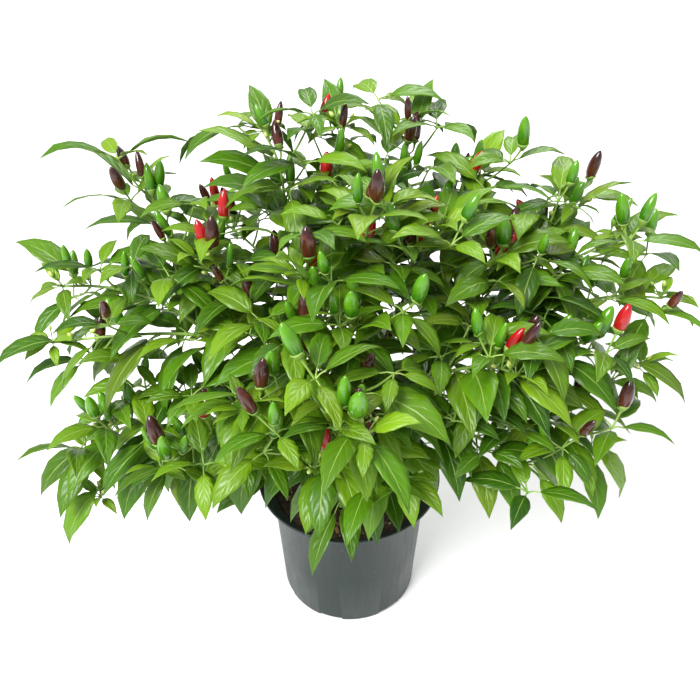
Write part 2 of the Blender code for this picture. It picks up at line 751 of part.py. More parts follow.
def grow_leaves(bm, walls, row, tips):
    """Leaves in a 2/5 spiral along the shoot, the largest in its lower half, often with a second one."""
    turn = rng.randrange(SHOOT_SIDES)
    droop = math.radians(row[3])
    last = len(walls) - 1
    for level in range(last, 1, -1):
        along = level / last
        turn = (turn + SPIRAL) % SHOOT_SIDES
        face = walls[level][turn]
        if level == last:
            face = max((f for f in walls[level] if f.is_valid), key=lambda f: f.normal.dot(level_way(f)))
        second = walls[level][(turn + SPIRAL) % SHOOT_SIDES]
        chosen = [face] if rng.random() > SECOND_LEAF else [face, second]
        for place in chosen:
            if not place.is_valid:
                continue
            length = LEAF_LENGTH * (LEAF_TAPER[0] - LEAF_TAPER[1] * along)
            length *= 1 + LEAF_SPREAD * rng.uniform(-0.5, 0.6)
            at_end = place == face and level == last
            push = END_PUSH if at_end else SIDE_PUSH[0] + SIDE_PUSH[1] * along
            flat = place.normal + level_way(place) * push
            heading = math.atan2(flat.y, flat.x)
            share, offset, extent = END_PITCH if at_end else SIDE_PITCH
            low = droop * share + offset
            grow_leaf(bm, place, length, heading, (low, low + extent), tips)


def reach_outline(tips):
    """Draws out the outermost leaf on each side, so that the canopy has its stated width and depth."""
    for axis, half in ((0, HALF_WIDTH), (1, HALF_DEPTH)):
        for sign in (-1, 1):
            tip = max(tips, key=lambda vert: sign * vert.co[axis])
            print(f"outermost leaf {'xy'[axis]} {sign:+d}: {tip.co[axis]:.4f}")
            tip.co[axis] = sign * half


def make_chilli(name, slot, shape):
    rings, tip = shape
    bm, _ = grow_tube(rings)
    end = max(bm.faces, key=lambda face: -(face.calc_center_median() - tip).length)
    bmesh.ops.poke(bm, faces=[end])["verts"][0].co = tip
    add_object(name, bm, slot)


def main():
    clear_scene()
    make_pot()
    foot = make_potting_mix()
    seats = make_main_stem(foot)
    shoots = []
    for row in SHOOTS:
        shoots.append((row, *make_stem(row, seats)))
    own_chillies, tips = [], []
    ripe_first = sorted(shoots, key=lambda shoot: -shoot[0][5])
    for row, bm, walls in ripe_first:
        grow_fruits(bm, walls, row, own_chillies)
    for row, bm, walls in shoots:
        bm.normal_update()
        grow_leaves(bm, walls, row, tips)
    reach_outline(tips)
    print(len(tips), "leaves,", len(own_chillies), "chillies of their own")
    for index, (_, bm, _) in enumerate(shoots, 1):
        add_object(f"shoot_{index:02d}", bm, "foliage")
    for slot in ("red_fruit", "dark_fruit"):
        shapes = [shape for found, shape in own_chillies if found == slot]
        for index, shape in enumerate(shapes, 1):
            make_chilli(f"{slot.split('_')[0]}_chilli_{index:02d}", slot, shape)


main()
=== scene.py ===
import math
import random

import bmesh
import bpy
import numpy as np
from mathutils import Matrix, Vector, noise
from mathutils.bvhtree import BVHTree


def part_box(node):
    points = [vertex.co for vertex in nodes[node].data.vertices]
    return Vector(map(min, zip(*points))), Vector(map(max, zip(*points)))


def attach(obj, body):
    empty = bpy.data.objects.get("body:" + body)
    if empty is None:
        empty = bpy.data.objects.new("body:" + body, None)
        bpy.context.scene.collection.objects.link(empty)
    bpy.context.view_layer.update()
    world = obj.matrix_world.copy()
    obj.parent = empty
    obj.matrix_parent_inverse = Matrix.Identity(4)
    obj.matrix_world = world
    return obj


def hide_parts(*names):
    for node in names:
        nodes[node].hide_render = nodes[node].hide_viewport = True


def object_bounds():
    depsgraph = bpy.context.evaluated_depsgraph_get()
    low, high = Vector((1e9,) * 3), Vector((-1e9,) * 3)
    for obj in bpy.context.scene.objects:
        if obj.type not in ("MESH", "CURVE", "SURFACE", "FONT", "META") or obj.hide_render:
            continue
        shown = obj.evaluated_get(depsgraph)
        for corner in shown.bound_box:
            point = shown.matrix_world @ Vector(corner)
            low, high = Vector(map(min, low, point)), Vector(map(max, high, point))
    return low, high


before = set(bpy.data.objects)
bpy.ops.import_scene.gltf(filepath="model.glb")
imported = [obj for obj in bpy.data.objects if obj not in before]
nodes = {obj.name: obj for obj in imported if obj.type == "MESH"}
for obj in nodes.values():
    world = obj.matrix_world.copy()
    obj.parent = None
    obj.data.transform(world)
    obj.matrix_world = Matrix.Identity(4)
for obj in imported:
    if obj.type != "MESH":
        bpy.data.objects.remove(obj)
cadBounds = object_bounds()
dice = random.Random(41)
upward = Vector((0, 0, 1))
print("stage: frame loaded,", len(nodes), "nodes")


# Small helpers


def clearSelection():
    if bpy.context.mode != "OBJECT":
        bpy.ops.object.mode_set(mode="OBJECT")
    bpy.ops.object.select_all(action="DESELECT")


def makeActive(piece):
    clearSelection()
    piece.select_set(True)
    bpy.context.view_layer.objects.active = piece


def applyModifiers(piece):
    makeActive(piece)
    for modifier in list(piece.modifiers):
        bpy.ops.object.modifier_apply(modifier=modifier.name)


def selectWhere(piece, test, kind="VERT"):
    # selects the vertices or faces that pass a test on their place, in edit mode
    bpy.ops.mesh.select_mode(type=kind)
    bpy.ops.mesh.select_all(action="DESELECT")
    bm = bmesh.from_edit_mesh(piece.data)
    if kind == "VERT":
        for vert in bm.verts:
            vert.select = test(vert.co)
    else:
        for face in bm.faces:
            face.select = test(face)
    bm.select_flush_mode()
    bmesh.update_edit_mesh(piece.data)


def bakePlace(piece):
    # a finished piece sits at the origin, with its place in its mesh
    makeActive(piece)
    bpy.ops.object.transform_apply(location=True, rotation=True, scale=True)


def giveMaterials(piece, *materials):
    piece.data.materials.clear()
    for material in materials:
        piece.data.materials.append(material)


def settle(piece, slot, *replaced):
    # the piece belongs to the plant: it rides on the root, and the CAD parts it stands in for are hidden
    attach(piece, "root")
    if replaced:
        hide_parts(*replaced)


def removeHelper(piece):
    bpy.data.objects.remove(piece, do_unlink=True)


# Node helpers


def newMaterial(name):
    material = bpy.data.materials.new(name)
    material.use_nodes = True
    return material, material.node_tree.nodes["Principled BSDF"]


def addNode(material, kind, settings=None, feeds=None):
    node = material.node_tree.nodes.new("ShaderNode" + kind)
    for key, value in (settings or {}).items():
        setattr(node, key, value)
    for key, value in (feeds or {}).items():
        feed(material, node.inputs[key], value)
    return node


def feed(material, socket, value):
    if isinstance(value, bpy.types.NodeSocket):
        material.node_tree.links.new(value, socket)
    elif socket.type == "RGBA" and len(value) == 3:
        socket.default_value = (*value, 1)
    else:
        socket.default_value = value


def calc(material, operation, *values):
    node = addNode(material, "Math", {"operation": operation}, dict(enumerate(values)))
    return node.outputs[0]


def ease(material, value, low, high, start=0.0, end=1.0):
    node = addNode(material, "MapRange", {"interpolation_type": "SMOOTHSTEP"}, {0: value, 1: low, 2: high, 3: start, 4: end})
    return node.outputs[0]


def blendColours(material, factor, first, second, mode="MIX"):
    node = addNode(material, "Mix", {"data_type": "RGBA", "blend_type": mode}, {0: factor, 6: first, 7: second})
    return node.outputs[2]


def noiseAt(material, scale, detail=3.0, where=None, roughness=0.5):
    if where is None:
        where = addNode(material, "TexCoord").outputs["Object"]
    return addNode(material, "TexNoise", None, {"Vector": where, "Scale": scale, "Detail": detail, "Roughness": roughness}).outputs[0]


def bumpFrom(material, height, strength, distance, under=None):
    feeds = {"Height": height, "Strength": strength, "Distance": distance}
    if under:
        feeds["Normal"] = under
    return addNode(material, "Bump", None, feeds).outputs[0]


def tintChannels(material):
    tint = addNode(material, "Attribute", {"attribute_name": "tint"})
    return addNode(material, "SeparateColor", None, {0: tint.outputs["Color"]}).outputs


def srgb(red, green, blue):
    # everyday colour values, 0 to 255, as the linear ones that shaders take
    return tuple(c / 12.92 if c <= 0.04045 else ((c + 0.055) / 1.055) ** 2.4 for c in (red / 255, green / 255, blue / 255))


# Camera, light and floor

cameraLook = {"place": (0.001, -0.550, 0.687), "tiltDown": 35.3, "fieldOfView": 50.0}

cameraData = bpy.data.cameras.new("viewCamera")
cameraData.sensor_width = 36.0
cameraData.lens = cameraData.sensor_width / 2 / math.tan(math.radians(cameraLook["fieldOfView"] / 2))
cameraData.clip_start = 0.01
viewCamera = bpy.data.objects.new("viewCamera", cameraData)
bpy.context.scene.collection.objects.link(viewCamera)
viewCamera.location = cameraLook["place"]
viewCamera.rotation_euler = (math.radians(90 - cameraLook["tiltDown"]), 0, 0)
bpy.context.scene.camera = viewCamera
bpy.context.scene.view_settings.view_transform = "Standard"

lampLook = {
    "key": {"place": (-0.9, -1.1, 1.9), "size": 0.9, "watts": 20.0},
    "back": {"place": (0.4, 1.3, 1.7), "size": 1.2, "watts": 24.0},
}
daylightLook = {"strength": 3.3, "softness": math.radians(32), "from": (-0.45, -0.50, 1.0), "sky": 0.60}


def aimAt(lampObject, place):
    towards = Vector((0, 0, 0.28)) - Vector(place)
    lampObject.rotation_euler = towards.to_track_quat("-Z", "Y").to_euler()


def addLamp(name, kind, place):
    lamp = bpy.data.lights.new(name, kind)
    lampObject = bpy.data.objects.new(name, lamp)
    bpy.context.scene.collection.objects.link(lampObject)
    lampObject.location = place
    aimAt(lampObject, place)
    return lamp


for lampName, look in lampLook.items():
    lamp = addLamp(lampName + "Lamp", "AREA", look["place"])
    lamp.shape = "DISK"
    lamp.size = look["size"]
    lamp.energy = look["watts"]
daylight = addLamp("daylight", "SUN", daylightLook["from"])
daylight.energy = daylightLook["strength"]
daylight.angle = daylightLook["softness"]

studioWorld = bpy.data.worlds.new("studioWorld")
bpy.context.scene.world = studioWorld
studioWorld.use_nodes = True
studioWorld.node_tree.nodes["Background"].inputs["Color"].default_value = (1.0, 1.0, 1.0, 1)
studioWorld.node_tree.nodes["Background"].inputs["Strength"].default_value = daylightLook["sky"]

clearSelection()
bpy.ops.mesh.primitive_plane_add(size=60, location=(0, 0, -0.0002))
floor = bpy.context.object
floor.name = "floor"
floorPaint, floorShader = newMaterial("floorPaint")
floorShader.inputs["Base Color"].default_value = (0.92, 0.92, 0.92, 1)
floorShader.inputs["Roughness"].default_value = 0.9
giveMaterials(floor, floorPaint)
bakePlace(floor)
print("stage: camera, lamps and floor")


# Leaf finish: a pale midrib, arched side veins, mottled green, glossy above and paler below

leafLook = {
    "deep": srgb(36, 80, 4),
    "fresh": srgb(88, 140, 12),
    "young": srgb(138, 180, 28),
    "rib": srgb(168, 202, 96),
    "below": srgb(118, 158, 66),
    "veins": 6.5,
    "veinLean": 2.1,
}


def leafFinish(name, below):
    material, skin = newMaterial(name)
    uv = addNode(material, "UVMap", {"uv_map": "leafMap"}).outputs[0]
    u, v, _ = addNode(material, "SeparateXYZ", None, {0: uv}).outputs
    across = calc(material, "MULTIPLY", calc(material, "ABSOLUTE", calc(material, "SUBTRACT", u, 0.5)), 2.0)
    lean = calc(material, "MULTIPLY", calc(material, "POWER", across, 0.8), -leafLook["veinLean"])
    phase = calc(material, "MULTIPLY_ADD", v, leafLook["veins"], lean)
    offLine = calc(material, "ABSOLUTE", calc(material, "SUBTRACT", calc(material, "FRACT", phase), 0.5))
    sideVein = calc(material, "MULTIPLY", ease(material, offLine, 0.0, 0.13, 1.0, 0.0), ease(material, across, 0.35, 1.0, 1.0, 0.15))
    pillow = ease(material, offLine, 0.0, 0.45)
    ribWidth = ease(material, v, 0.0, 1.0, 0.075, 0.03)
    rib = ease(material, calc(material, "DIVIDE", across, ribWidth), 0.35, 1.0, 1.0, 0.0)

    bright, youth, hue = tintChannels(material)[:3]
    mottle = noiseAt(material, 45.0, 4.0)
    fine = noiseAt(material, 420.0, 2.0)
    green = blendColours(material, bright, leafLook["deep"], leafLook["fresh"])
    green = blendColours(material, ease(material, youth, 0.35, 1.0), green, leafLook["young"])
    green = blendColours(material, ease(material, mottle, 0.35, 0.75, 0.0, 0.35), green, leafLook["fresh"])
    green = blendColours(material, ease(material, hue, 0.85, 1.0, 0.0, 0.45), green, srgb(146, 166, 36))
    green = blendColours(material, calc(material, "MULTIPLY", ease(material, across, 0.75, 1.0), 0.25), green, leafLook["young"])
    if below:
        green = blendColours(material, 0.72, green, leafLook["below"])
    green = blendColours(material, calc(material, "MULTIPLY", sideVein, 0.11), green, leafLook["rib"])
    green = blendColours(material, calc(material, "MULTIPLY", rib, 0.80), green, leafLook["rib"])
    feed(material, skin.inputs["Base Color"], green)
    smooth, dull = (0.58, 0.70) if below else (0.29, 0.42)
    shine = ease(material, fine, 0.3, 0.7, smooth, dull)
    feed(material, skin.inputs["Roughness"], shine)
    skin.inputs["Specular IOR Level"].default_value = 0.5

    veinHeight = calc(material, "ADD", sideVein, calc(material, "MULTIPLY", rib, 2.0))
    relief = calc(material, "MULTIPLY_ADD", veinHeight, 0.7 if below else -0.7, calc(material, "MULTIPLY", pillow, 0.8))
    relief = calc(material, "MULTIPLY_ADD", mottle, 1.6, relief)
    feed(material, skin.inputs["Normal"], bumpFrom(material, relief, 0.36, 0.0006))

    glow = addNode(material, "BsdfTranslucent", None, {"Color": blendColours(material, 0.5, green, leafLook["young"])})
    mixed = addNode(material, "MixShader", None, {0: 0.26, 1: skin.outputs[0], 2: glow.outputs[0]})
    material.node_tree.links.new(mixed.outputs[0], material.node_tree.nodes["Material Output"].inputs["Surface"])
    return material


leafTop = leafFinish("leafTop", below=False)
leafBelow = leafFinish("leafUnderside", below=True)


def stemFinish():
    material, skin = newMaterial("greenStem")
    bright, youth, hue = (noiseAt(material, 30.0), noiseAt(material, 9.0, 1.0), noiseAt(material, 300.0, 2.0))
    green = blendColours(material, ease(material, bright, 0.3, 0.7), srgb(104, 142, 48), srgb(150, 182, 84))
    green = blendColours(material, ease(material, youth, 0.62, 0.78, 0.0, 0.4), green, srgb(112, 96, 66))
    feed(material, skin.inputs["Base Color"], green)
    feed(material, skin.inputs["Roughness"], ease(material, hue, 0.3, 0.7, 0.40, 0.55))
    feed(material, skin.inputs["Normal"], bumpFrom(material, hue, 0.3, 0.0003))
    return material


def barkFinish():
    material, skin = newMaterial("youngBark")
    where = addNode(material, "TexCoord").outputs["Object"]
    height = addNode(material, "SeparateXYZ", None, {0: where}).outputs[2]
    drawn = addNode(material, "Mapping", None, {"Vector": where, "Scale": (1.0, 1.0, 0.14)}).outputs[0]
    ridges = noiseAt(material, 520.0, 4.0, drawn, 0.6)
    blotch = noiseAt(material, 60.0, 3.0, where)
    woody = ease(material, height, 0.24, 0.33, 1.0, 0.0)
    brown = blendColours(material, ease(material, ridges, 0.35, 0.7), srgb(96, 78, 48), srgb(160, 142, 100))
    green = blendColours(material, ease(material, blotch, 0.35, 0.7), srgb(104, 134, 52), srgb(142, 170, 78))
    colour = blendColours(material, calc(material, "MULTIPLY", woody, ease(material, blotch, 0.2, 0.6, 0.6, 1.0)), green, brown)
    feed(material, skin.inputs["Base Color"], colour)
    feed(material, skin.inputs["Roughness"], ease(material, ridges, 0.3, 0.7, 0.60, 0.82))
    feed(material, skin.inputs["Normal"], bumpFrom(material, ridges, 0.6, 0.0009))
    return material


# Chilli skins: each ripeness has two colours that run into each other from the calyx to the tip

chilliLook = {
    "dark": {"base": srgb(88, 38, 26), "tip": srgb(52, 22, 20), "patch": srgb(122, 46, 26), "roughness": 0.13},
    "red": {"base": srgb(158, 16, 18), "tip": srgb(180, 18, 24), "patch": srgb(110, 14, 16), "roughness": 0.13},
    "green": {"base": srgb(42, 104, 8), "tip": srgb(86, 146, 14), "patch": srgb(120, 152, 18), "roughness": 0.15},
    "bud": {"base": srgb(150, 186, 60), "tip": srgb(206, 216, 120), "patch": srgb(190, 200, 90), "roughness": 0.45},
}


def chilliFinish(name, look):
    material, skin = newMaterial(name)
    uv = addNode(material, "UVMap", {"uv_map": "leafMap"}).outputs[0]
    _, v, _ = addNode(material, "SeparateXYZ", None, {0: uv}).outputs
    bright, youth, hue = tintChannels(material)[:3]
    cloud = noiseAt(material, 90.0, 3.0)
    wrinkle = noiseAt(material, 260.0, 3.0)
    along = calc(material, "MULTIPLY_ADD", calc(material, "SUBTRACT", cloud, 0.5), 0.7, v)
    colour = blendColours(material, ease(material, along, 0.15, 0.8), look["base"], look["tip"])
    colour = blendColours(material, calc(material, "MULTIPLY", ease(material, cloud, 0.5, 0.75), youth), colour, look["patch"])
    colour = blendColours(material, calc(material, "MULTIPLY", bright, 0.35), colour, look["tip"])
    feed(material, skin.inputs["Base Color"], colour)
    feed(material, skin.inputs["Roughness"], ease(material, wrinkle, 0.3, 0.75, look["roughness"], look["roughness"] + 0.12))
    skin.inputs["Coat Weight"].default_value = 0.4
    skin.inputs["Coat Roughness"].default_value = 0.08
    feed(material, skin.inputs["Normal"], bumpFrom(material, calc(material, "ADD", wrinkle, cloud), 0.16, 0.0005))
    return material


greenStem = stemFinish()
youngBark = barkFinish()
chilliSkins = {name: chilliFinish(name + "ChilliSkin", look) for name, look in chilliLook.items()}
print("stage: plant finishes")


# Shapes that repeat: the leaf blade, the chilli and its calyx, each modelled once

bladeShape = {
    "rows": (0.0, 0.12, 0.29, 0.50, 0.72, 0.90, 1.0),
    "widths": (0.06, 0.62, 0.98, 0.97, 0.62, 0.20, 0.0),
    "columns": 4,
}


def modelBlade():
    # a flat grid, half a unit wide each way and one unit long, drawn in row by row to the outline of the blade
    rows = bladeShape["rows"]
    last = len(rows) - 1
    clearSelection()
    bpy.ops.mesh.primitive_grid_add(x_subdivisions=bladeShape["columns"], y_subdivisions=last, size=2, calc_uvs=True)
    blade = bpy.context.object
    blade.name = "bladeMaster"
    blade.data.uv_layers.active.name = "leafMap"
    giveMaterials(blade, leafTop, leafBelow)
    bpy.ops.object.mode_set(mode="EDIT")
    for index in reversed(range(last + 1)):
        before = -1 + 2 * index / last
        selectWhere(blade, lambda co: abs(co.y - before) < 1e-4 and co.z < 0.5)
        bpy.ops.transform.resize(value=(max(bladeShape["widths"][index], 0.001), 1, 1), center_override=(0, before, 0))
        bpy.ops.transform.translate(value=(0, rows[index] - before, 1))
    selectWhere(blade, lambda co: co.y > 0.999)
    bpy.ops.mesh.merge(type="CENTER")
    bpy.ops.mesh.select_all(action="SELECT")
    bpy.ops.transform.translate(value=(0, 0, -1))
    bpy.ops.object.mode_set(mode="OBJECT")
    thick = blade.modifiers.new("thickness", "SOLIDIFY")
    thick.thickness = 0.02
    thick.offset = 0.0
    thick.material_offset = 1
    applyModifiers(blade)
    return blade


chilliShape = {
    "sides": 10,
    "heights": (0.0, 0.035, 0.11, 0.24, 0.42, 0.60, 0.77, 0.90, 0.975),
    "radii": (0.30, 0.62, 0.84, 0.97, 1.0, 0.92, 0.72, 0.44, 0.18),
}


def modelLathed(name, sides, heights, radii, closeTip=True):
    # a circle carried upwards by extrusion, resized at each height, its last ring drawn to a point
    clearSelection()
    bpy.ops.mesh.primitive_circle_add(vertices=sides, radius=radii[0], fill_type="NGON", location=(0, 0, heights[0]))
    piece = bpy.context.object
    piece.name = name
    bakePlace(piece)
    bpy.ops.object.mode_set(mode="EDIT")
    bpy.ops.mesh.select_all(action="SELECT")
    for index in range(1, len(heights)):
        rise = heights[index] - heights[index - 1]
        grow = radii[index] / radii[index - 1]
        bpy.ops.mesh.extrude_region_move(TRANSFORM_OT_translate={"value": (0, 0, rise)})
        bpy.ops.transform.resize(value=(grow, grow, 1), center_override=(0, 0, heights[index]))
    if closeTip:
        bpy.ops.mesh.extrude_region_move(TRANSFORM_OT_translate={"value": (0, 0, 1 - heights[-1])})
        bpy.ops.mesh.merge(type="CENTER")
    bpy.ops.mesh.select_all(action="SELECT")
    bpy.ops.mesh.normals_make_consistent(inside=False)
    bpy.ops.object.mode_set(mode="OBJECT")
    return piece


def mapByHeight(piece):
    # its map runs round the piece and up it, from the calyx to the tip
    layer = piece.data.uv_layers.get("leafMap") or piece.data.uv_layers.new(name="leafMap")
    for loop in piece.data.loops:
        place = piece.data.vertices[loop.vertex_index].co
        turn = math.atan2(place.y, place.x) / (2 * math.pi) + 0.5
        layer.data[loop.index].uv = (turn, place.z)


calyxShape = {"sides": 10, "heights": (-0.10, -0.045, 0.012, 0.05), "radii": (0.15, 0.28, 0.56, 0.80), "tooth": 0.085}


def modelCalyx():
    # a shallow green cup on the shoulder of the chilli, its rim drawn out into five teeth
    calyx = modelLathed("calyxMaster", calyxShape["sides"], calyxShape["heights"], calyxShape["radii"], closeTip=False)
    bpy.ops.object.mode_set(mode="EDIT")
    top = calyxShape["heights"][-1]
    selectWhere(calyx, lambda face: len(face.verts) > 4 and face.calc_center_median().z > top - 0.01, "FACE")
    bpy.ops.mesh.delete(type="ONLY_FACE")
    step = 2 * math.pi / calyxShape["sides"]
    selectWhere(calyx, lambda co: co.z > top - 0.01 and round(math.atan2(co.y, co.x) / step) % 2 == 0)
    bpy.ops.transform.translate(value=(0, 0, calyxShape["tooth"]))
    bpy.ops.transform.resize(value=(1.13, 1.13, 1), center_override=(0, 0, 0))
    selectWhere(calyx, lambda co: top + 0.02 > co.z > top - 0.01)
    bpy.ops.transform.translate(value=(0, 0, -0.03))
    bpy.ops.transform.resize(value=(0.92, 0.92, 1), center_override=(0, 0, 0))
    bpy.ops.object.mode_set(mode="OBJECT")
    wall = calyx.modifiers.new("wall", "SOLIDIFY")
    wall.thickness = 0.05
    wall.offset = 1.0
    applyModifiers(calyx)
    return calyx


def arraysOf(piece):
    # what is needed to make bent copies of a master shape
    mesh = piece.data
    mesh.calc_loop_triangles()
    layer = mesh.uv_layers.get("leafMap")
    return {
        "points": np.array([v.co for v in mesh.vertices]),
        "faces": [tuple(face.vertices) for face in mesh.polygons],
        "slots": [face.material_index for face in mesh.polygons],
        "uv": np.array([entry.uv for entry in layer.data]),
    }


bladeMaster = modelBlade()
blade = arraysOf(bladeMaster)
chilliMaster = modelLathed("chilliMaster", chilliShape["sides"], chilliShape["heights"], chilliShape["radii"])
mapByHeight(chilliMaster)
chilli = arraysOf(chilliMaster)
calyxMaster = modelCalyx()
mapByHeight(calyxMaster)
calyx = arraysOf(calyxMaster)
for master in (bladeMaster, chilliMaster, calyxMaster):
    removeHelper(master)
print("stage: master shapes,", len(blade["faces"]), "faces in a blade,", len(chilli["faces"]), "in a chilli")


def joinCopies(name, copies, materials):
    # one mesh from many bent copies, each a (shape, points, tint, material offset)
    points, faces, slots, uvs, tints = [], [], [], [], []
    start = 0
    for shape, places, tint, offset in copies:
        points.append(places)
        faces += [tuple(start + index for index in face) for face in shape["faces"]]
        slots += [offset + slot for slot in shape["slots"]]
        uvs.append(shape["uv"])
        tints.append(np.tile((*tint, 1.0), (len(places), 1)))
        start += len(places)
    mesh = bpy.data.meshes.new(name)
    mesh.from_pydata(np.concatenate(points).tolist(), [], faces)
    for material in materials:
        mesh.materials.append(material)
    mesh.polygons.foreach_set("material_index", slots)
    mesh.uv_layers.new(name="leafMap").data.foreach_set("uv", np.concatenate(uvs).ravel())
    tintLayer = mesh.attributes.new("tint", "FLOAT_COLOR", "POINT")
    tintLayer.data.foreach_set("color", np.concatenate(tints).ravel())
    piece = bpy.data.objects.new(name, mesh)
    bpy.context.scene.collection.objects.link(piece)
    mesh.shade_smooth()
    mesh.update()
    return piece


def curveThrough(stations, places, where):
    # a smooth line through places that stand at rising stations, read at others
    places = np.array(places, float)
    stations = np.array(stations, float)
    slopes = np.gradient(places, stations, axis=0)
    found = []
    for at in where:
        k = int(np.clip(np.searchsorted(stations, at) - 1, 0, len(stations) - 2))
        span = stations[k + 1] - stations[k]
        t = (at - stations[k]) / span
        found.append(
            (2 * t**3 - 3 * t**2 + 1) * places[k]
            + (t**3 - 2 * t**2 + t) * span * slopes[k]
            + (3 * t**2 - 2 * t**3) * places[k + 1]
            + (t**3 - t**2) * span * slopes[k + 1]
        )
    return np.array(found)


# Leaves

leafShape = {
    "stations": (0.0, 0.34, 0.70, 1.0),  # where the CAD leaf's midrib points stand along the blade
    "fold": math.radians(24),
    "thickness": 0.00034,
    "waves": 3.2,
    "waveHeight": 0.045,
    "widthShare": 0.43,
}


def bendBlade(leaf):
    # the master blade laid along a leaf's midrib, folded up along it, with a waved margin
    rows = np.array(bladeShape["rows"])
    spine = curveThrough(leafShape["stations"], leaf["spine"], rows)
    ahead = np.gradient(spine, rows, axis=0)
    ahead /= np.linalg.norm(ahead, axis=1)[:, None]
    up = curveThrough(leafShape["stations"], leaf["ups"], rows)
    up -= ahead * (up * ahead).sum(1)[:, None]
    up /= np.linalg.norm(up, axis=1)[:, None]
    side = np.cross(ahead, up)
    local = blade["points"]
    row = np.abs(local[:, 1][:, None] - rows[None, :]).argmin(1)
    out = np.abs(local[:, 0])
    sign = np.sign(local[:, 0])
    half = leaf["half"]
    fold = leaf["fold"] * (0.75 + 0.4 * rows[row])
    wave = leafShape["waveHeight"] * out * np.sin(leafShape["waves"] * 2 * math.pi * rows[row] + leaf["phase"] + sign)
    level = out * np.cos(fold) * half * sign
    lift = (out * np.sin(fold) - 0.22 * out * out + wave) * half + np.sign(local[:, 2]) * leafShape["thickness"] / 2
    return spine[row] + side[row] * level[:, None] + up[row] * lift[:, None]


def upFor(ahead, roll=0.0):
    side = ahead.cross(upward)
    side = side.normalized() if side.length > 0.05 else Vector((1, 0, 0))
    return Matrix.Rotation(roll, 3, ahead) @ side.cross(ahead).normalized()


def freshLeaf(base, heading, pitch, length, roll=0.0):
    # a leaf that isn't in the CAD model: a small one near a shoot's tip, or one that fills a gap
    level = Vector((math.cos(heading), math.sin(heading), 0))
    bends = (0.0, -0.16, -0.48, -0.85)
    ways = [level * math.cos(pitch + bend) + upward * math.sin(pitch + bend) for bend in bends]
    start = base + ways[0] * length * 0.22
    spine = [start]
    stations = leafShape["stations"]
    for index in range(3):
        spine.append(spine[-1] + ways[index + 1] * length * (stations[index + 1] - stations[index]))
    ups = [upFor(way, roll) for way in (ways[1], ways[1], ways[2], ways[3])]
    return {"base": base, "spine": spine, "ups": ups, "half": length * leafShape["widthShare"] / 2, "length": length}


def finishLeaf(leaf, youth):
    leaf["fold"] = leafShape["fold"] * dice.uniform(0.6, 1.35)
    leaf["phase"] = dice.uniform(0, 6.28)
    leaf["tint"] = (dice.uniform(0.0, 1.0), max(0.0, min(1.0, youth + dice.uniform(-0.25, 0.25))), dice.random())
    return leaf


# Reading the grown shapes back from the CAD shoots


def mergedCopy(name):
    bm = bmesh.new()
    bm.from_mesh(nodes[name].data)
    bmesh.ops.remove_doubles(bm, verts=bm.verts, dist=1e-5)
    bm.verts.ensure_lookup_table()
    return bm


def neighbours(vert):
    return [edge.other_vert(vert) for edge in vert.link_edges]


def ringsBehind(tip, sides):
    # the rings of corners behind a tip, from the first to the one on the stem
    rings = []
    seen = {tip}
    front = neighbours(tip)
    while len(front) == sides:
        rings.append(front)
        seen.update(front)
        front = list({near for vert in front for near in neighbours(vert)} - seen)
    return rings


def sharpTips(bm, sides, least):
    found = []
    for vert in bm.verts:
        if len(vert.link_edges) != sides:
            continue
        lean = sum(((near.co - vert.co).normalized() for near in neighbours(vert)), Vector()) / sides
        if lean.length > least:
            found.append(vert)
    return found


def middle(ring):
    return sum((vert.co for vert in ring), Vector()) / len(ring)


def crossSection(ring):
    # the two far corners of a leaf's section, the middle of its rib, and its upward direction
    corners = [vert.co for vert in ring]
    first = corners[0]
    pairs = [((corners[a], corners[b]), (corners[c], corners[d])) for a, b, c, d in ((0, 1, 2, 3), (0, 2, 1, 3), (0, 3, 1, 2))]
    wide, narrow = max(
        (pair if (pair[0][0] - pair[0][1]).length > (pair[1][0] - pair[1][1]).length else pair[::-1] for pair in pairs),
        key=lambda pair: (pair[0][0] - pair[0][1]).length - (pair[1][0] - pair[1][1]).length,
    )
    rib = (narrow[0] + narrow[1]) / 2
    up = (wide[0] + wide[1]) / 2 - rib
    return (wide[0] - wide[1]).length, (narrow[0] - narrow[1]).length, rib, up


def readShoot(name):
    # leaves, green chillies and the stem's line with its radii, as the CAD shoot holds them
    bm = mergedCopy(name)
    leaves, fruits, used = [], [], set()
    for tip in sharpTips(bm, 4, 0.85):
        rings = ringsBehind(tip, 4)[:4]
        used.add(tip)
        for ring in rings:
            used.update(ring)
        far, near, neck, root = rings
        wide, narrow, rib, up = crossSection(near)
        base = middle(root)
        if narrow > wide * 0.4:
            fruits.append({"base": base, "neck": middle(neck), "tip": tip.co.copy(), "radius": (wide + narrow) / 4})
            continue
        farWide, _, farRib, farUp = crossSection(far)
        up, farUp = up.normalized(), farUp.normalized()
        half = wide / 2 / math.cos(leafShape["fold"])
        spine = [middle(neck), rib, farRib, tip.co.copy()]
        length = sum((b - a).length for a, b in zip(spine, spine[1:]))
        leaves.append({"base": base, "spine": spine, "ups": [up, up, farUp, farUp], "half": half, "length": length})
    rest = {vert for vert in bm.verts if vert not in used}
    ring = sorted(rest, key=lambda vert: woodTree.find_nearest(vert.co)[3])[:5]
    line, radii = [], []
    while ring:
        centre = middle(ring)
        line.append(centre)
        radii.append(sum((vert.co - centre).length for vert in ring) / len(ring))
        rest.difference_update(ring)
        ring = list({near for vert in ring for near in neighbours(vert)} & rest)
    bm.free()
    return {"name": name, "leaves": leaves, "fruits": fruits, "line": line, "radii": radii}


woodCopy = mergedCopy("main_stem")
woodTree = BVHTree.FromBMesh(woodCopy)
woodCopy.free()
shootNames = sorted(name for name in nodes if name.startswith("shoot"))
shoots = [readShoot(name) for name in shootNames]
print("stage: read", sum(len(s["leaves"]) for s in shoots), "leaves and", sum(len(s["fruits"]) for s in shoots), "green chillies")


# Room between the leaves, so that the small ones go where there is space


